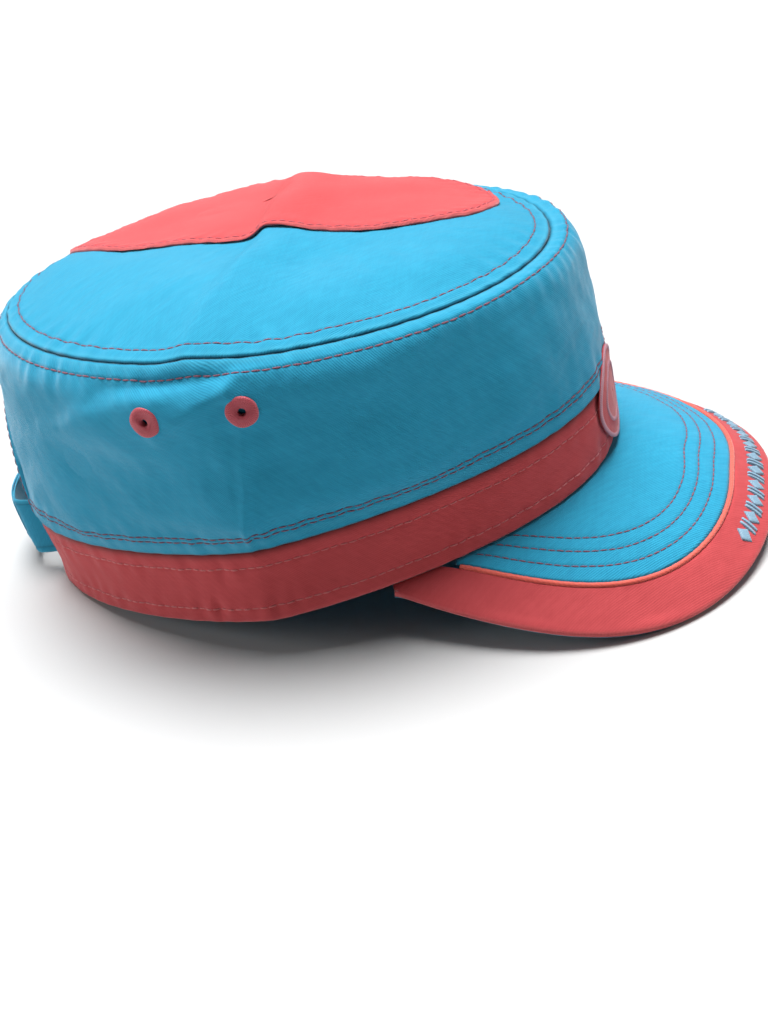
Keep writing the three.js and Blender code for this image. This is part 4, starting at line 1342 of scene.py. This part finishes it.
rim_left, rim_up = patch_rim(240)
ring = np.array([1.0, 0.99, 0.975, 0.95, 0.92, 0.89, 0.86, 0.84, *np.linspace(0.8, 0.001, 16)])[:, None]
bare, out = front_point(rim_left * ring, rim_up * ring)
lift = FRONT_PATCH["cloth"] - 0.45 * bell((1 - ring) / 0.012) + 0.03 * ripple(bare, 5, 95)
front_net = bare + out * lift[..., None]
front_low = (bare + out * 0.3)[:-1:8]
net = np.concatenate([front_net[::-1], front_low])[::-1]
flat = np.stack([FRONT_PATCH["half_width"] * rim_left * ring,
                 FRONT_PATCH["half_height"] * rim_up * ring], -1)
uv = np.concatenate([flat[::-1], flat[:-1:8]])[::-1]
panel("front_patch_cloth", net, uv, np.zeros(net.shape[:2]), coral_twill, ["front_patch"])

# %% Satin border of the front patch
THREAD_PITCH = 0.44            # millimetres from one thread of satin stitch to the next
# Each pair is a share of the patch's size and a height, going over the padded border.
BORDER_PROFILE = np.array([(1.0, -0.2), (0.997, 0.1), (0.985, 0.24), (0.955, 0.3), (0.925, 0.24),
                           (0.913, 0.1), (0.91, -0.2), (0.955, -0.3)])


def thread_ridges(along):
    """Threads lying side by side, as a height over their base."""
    return 0.09 * np.abs(np.cos(along * math.pi / THREAD_PITCH))


rim_left, rim_up = patch_rim(900)
for name, scale in (("front_patch_border", 1.0), ("front_patch_ring", 0.66)):
    share = BORDER_PROFILE[:, :1] - 1 + scale
    bare, out = front_point(rim_left * share, rim_up * share)
    along = run_lengths(bare[0], 0)
    lift = FRONT_PATCH["cloth"] + BORDER_PROFILE[:, 1:] + thread_ridges(along) * (BORDER_PROFILE[:, 1:] > 0)
    net = bare + out * lift[..., None]
    uv = np.stack(np.broadcast_arrays(along, BORDER_PROFILE[:, :1] * 14), -1)
    build(name, net.reshape(-1, 3), net_faces(*net.shape[:2], True, True).tolist(), uv.reshape(-1, 2),
          np.zeros(net.shape[0] * net.shape[1]), dusty_thread)

# %% [markdown]
# ## Ornament on the visor's edge
# A line of satin-stitch lozenges and bars runs along the coral edge. Every motif is a span
# of threads laid side by side, longer or shorter from thread to thread, so a motif is only
# a list of half lengths. The ends of each thread dive into the cloth.

# %% Satin ornament
# Each pair is a place across the motif, from -1 to 1, and a height.
SATIN_PROFILE = np.array([(-1.0, -0.35), (-0.97, 0.12), (-0.8, 0.36), (-0.45, 0.5), (0.0, 0.54),
                          (0.45, 0.5), (0.8, 0.36), (0.97, 0.12), (1.0, -0.35)])
ORNAMENT_INWARD = 6.0          # middle of the ornament, in from the rim
ORNAMENT_START, ORNAMENT_END = -0.19, 0.43
ORNAMENT_STEP = 9.1
# Each motif: place within the step, half width along the edge, half height, and whether it
# narrows to a point at both ends.
MOTIFS = [(0.0, 2.5, 2.6, True), (3.6, 0.6, 2.6, False), (5.5, 0.6, 2.6, False)]
ornament_u = np.linspace(ORNAMENT_START - 0.05, ORNAMENT_END + 0.05, 400)
ornament_run = run_lengths(rim_point(ornament_u, ORNAMENT_INWARD, 0.0), 0)


def satin_motif(place, half_width, half_height, pointed):
    """Points, faces and measures of one motif, at a distance along the ornament's line."""
    along = np.arange(-half_width, half_width + 0.01, THREAD_PITCH / 5)
    from_end = 1 - np.abs(along) / half_width
    half = half_height * (from_end if pointed else np.ones_like(along)) + 0.12
    sunk = smooth_step(from_end * half_width, 0.0, 0.25)
    profile = SATIN_PROFILE[:, 1:]
    lift = profile * sunk - 0.3 * (1 - sunk) + thread_ridges(along) * (profile > 0) * sunk
    u = np.interp(place + along, ornament_run, ornament_u)
    points = rim_point(u, ORNAMENT_INWARD + half * SATIN_PROFILE[:, :1], -lift - 0.1)
    uv = np.stack(np.broadcast_arrays(along, SATIN_PROFILE[:, :1] * half_height), -1)
    return points.reshape(-1, 3), net_faces(*points.shape[:2], False, False)[:, ::-1], uv.reshape(-1, 2)


first = np.interp(ORNAMENT_START, ornament_u, ornament_run)
last = np.interp(ORNAMENT_END, ornament_u, ornament_run)
rows = []
for start in np.arange(first, last, ORNAMENT_STEP):
    for place, half_width, half_height, pointed in MOTIFS:
        if start + place + half_width < last:
            rows.append(satin_motif(start + place, half_width, half_height, pointed))
sew("visor_ornament", rows, sky_thread)

# %% [markdown]
# ## Eyelets
# The vent holes are worked in satin stitch: some forty turns of thread over a small ring.
# A smooth ring whose height ripples once for each turn of thread reads just like it.

# %% Eyelets
EYELET_RADIUS, EYELET_RISE, EYELET_THREADS = 4.75, 0.5, 44
# Each pair is a distance from the middle and a height, both as shares, going over the ring.
EYELET_PROFILE = np.array([(0.25, -3.0), (0.24, -1.2), (0.25, 0.1), (0.28, 0.62), (0.36, 0.92), (0.5, 1.0),
                           (0.66, 1.0), (0.8, 0.94), (0.9, 0.75), (0.96, 0.42), (0.99, 0.1), (1.0, -0.8),
                           (0.9, -1.0), (0.6, -1.1), (0.5, -3.0)])


def eyelet(name, side, angle, level, node):
    middle, out, across, upward = eyelet_frame(side, angle, level)
    count = EYELET_THREADS * 5
    turn = np.linspace(0, 2 * math.pi, count, endpoint=False)
    twist = turn + 0.06 * np.sin(turn * 3)
    ridge = 0.16 * np.abs(np.cos(twist * EYELET_THREADS / 2)) - 0.08
    radius = EYELET_PROFILE[:, :1] * EYELET_RADIUS * (1 + 0.012 * np.sin(5 * turn + side))
    height = EYELET_PROFILE[:, 1:] * EYELET_RISE + ridge * (EYELET_PROFILE[:, 1:] > 0) + 0.3
    points = (middle + (radius * np.cos(turn))[..., None] * across
              + (radius * np.sin(turn))[..., None] * upward + height[..., None] * out)
    faces = net_faces(len(EYELET_PROFILE), count, True, True).tolist()
    uv = np.stack(np.broadcast_arrays(EYELET_PROFILE[:, :1] * 3, turn * EYELET_RADIUS), -1).reshape(-1, 2)
    shade = np.zeros(points.shape[:2]).ravel()
    build(name, points.reshape(-1, 3), faces, uv, shade, coral_thread, [node])


for where, side, angle, level in EYELETS:
    eyelet("worked_eyelet_" + where, side, angle, level, "eyelet_" + where)

# %% [markdown]
# ## Floor and light
# A plain pale floor and soft light, as in a small product studio. Most of the light comes
# from a wide source above; weaker ones stand ahead of and behind the cap.

# %% Floor
FLOOR_HALF, FLOOR_GREY = 8, 0.47
floor_corners = [(x * FLOOR_HALF, y * FLOOR_HALF, 0) for x, y in ((-1, -1), (1, -1), (1, 1), (-1, 1))]
floor_mesh = bpy.data.meshes.new("floor")
floor_mesh.from_pydata(floor_corners, [], [(0, 1, 2, 3)])
floor = put("floor", floor_mesh)
floor_material = bpy.data.materials.new("pale_floor")
floor_material.use_nodes = True
floor_shader = floor_material.node_tree.nodes["Principled BSDF"]
floor_shader.inputs["Base Color"].default_value = (FLOOR_GREY, FLOOR_GREY, FLOOR_GREY, 1)
floor_shader.inputs["Roughness"].default_value = 0.9
floor_mesh.materials.append(floor_material)
print("floor:", FLOOR_HALF * 2, "m wide, grey", FLOOR_GREY)

# %% Lights
SUN_POWER, SUN_DEGREES, SUN_FROM = 6.9, 38, Vector((0.34, 0.10, 1.5))
FILL_SIZE, FILL_AIM = 0.7, Vector((0, 0, 0.05))
FILLS = [("front_fill", Vector((0.35, -1.7, 0.7)), 6), ("rear_fill", Vector((-0.35, 1.7, 0.5)), 12)]


def shine(name, kind, power, came_from, place=(0, 0, 0)):
    """Adds a light of that kind, shining from that direction, and gives its data."""
    data = bpy.data.lights.new(name, kind)
    data.energy = power
    light = put(name, data)
    light.location = place
    light.rotation_mode = "QUATERNION"
    light.rotation_quaternion = came_from.to_track_quat("Z", "Y")
    return data


shine("overhead", "SUN", SUN_POWER, SUN_FROM).angle = math.radians(SUN_DEGREES)
for name, place, power in FILLS:
    fill = shine(name, "AREA", power, place - FILL_AIM, place)
    fill.shape = "DISK"
    fill.size = FILL_SIZE

# %% A studio that is bright at the horizon and dim above
HORIZON_LIGHT, SKY_LIGHT = 0.35, 0.06
HORIZON_END, SKY_START = 0.02, 0.13
world = bpy.data.worlds.new("studio")
world.use_nodes = True
world.node_tree.nodes.clear()
wire = Wire(world.node_tree)
direction = wire.node("ShaderNodeTexCoord")
upward = wire.node("ShaderNodeSeparateXYZ", sockets={0: direction}, output=2)
bright, dim = (wire.node("ShaderNodeBackground", sockets={"Color": (1, 1, 1, 1), "Strength": strength})
               for strength in (HORIZON_LIGHT, SKY_LIGHT))
studio = wire.node("ShaderNodeMixShader", sockets={
    0: upward.between(HORIZON_END, SKY_START), 1: bright, 2: dim})
wire.node("ShaderNodeOutputWorld", sockets={"Surface": studio})
bpy.context.scene.world = world
bpy.context.scene.view_settings.view_transform = "Standard"
print("world:", world.name, "from", HORIZON_LIGHT, "at the horizon to", SKY_LIGHT)
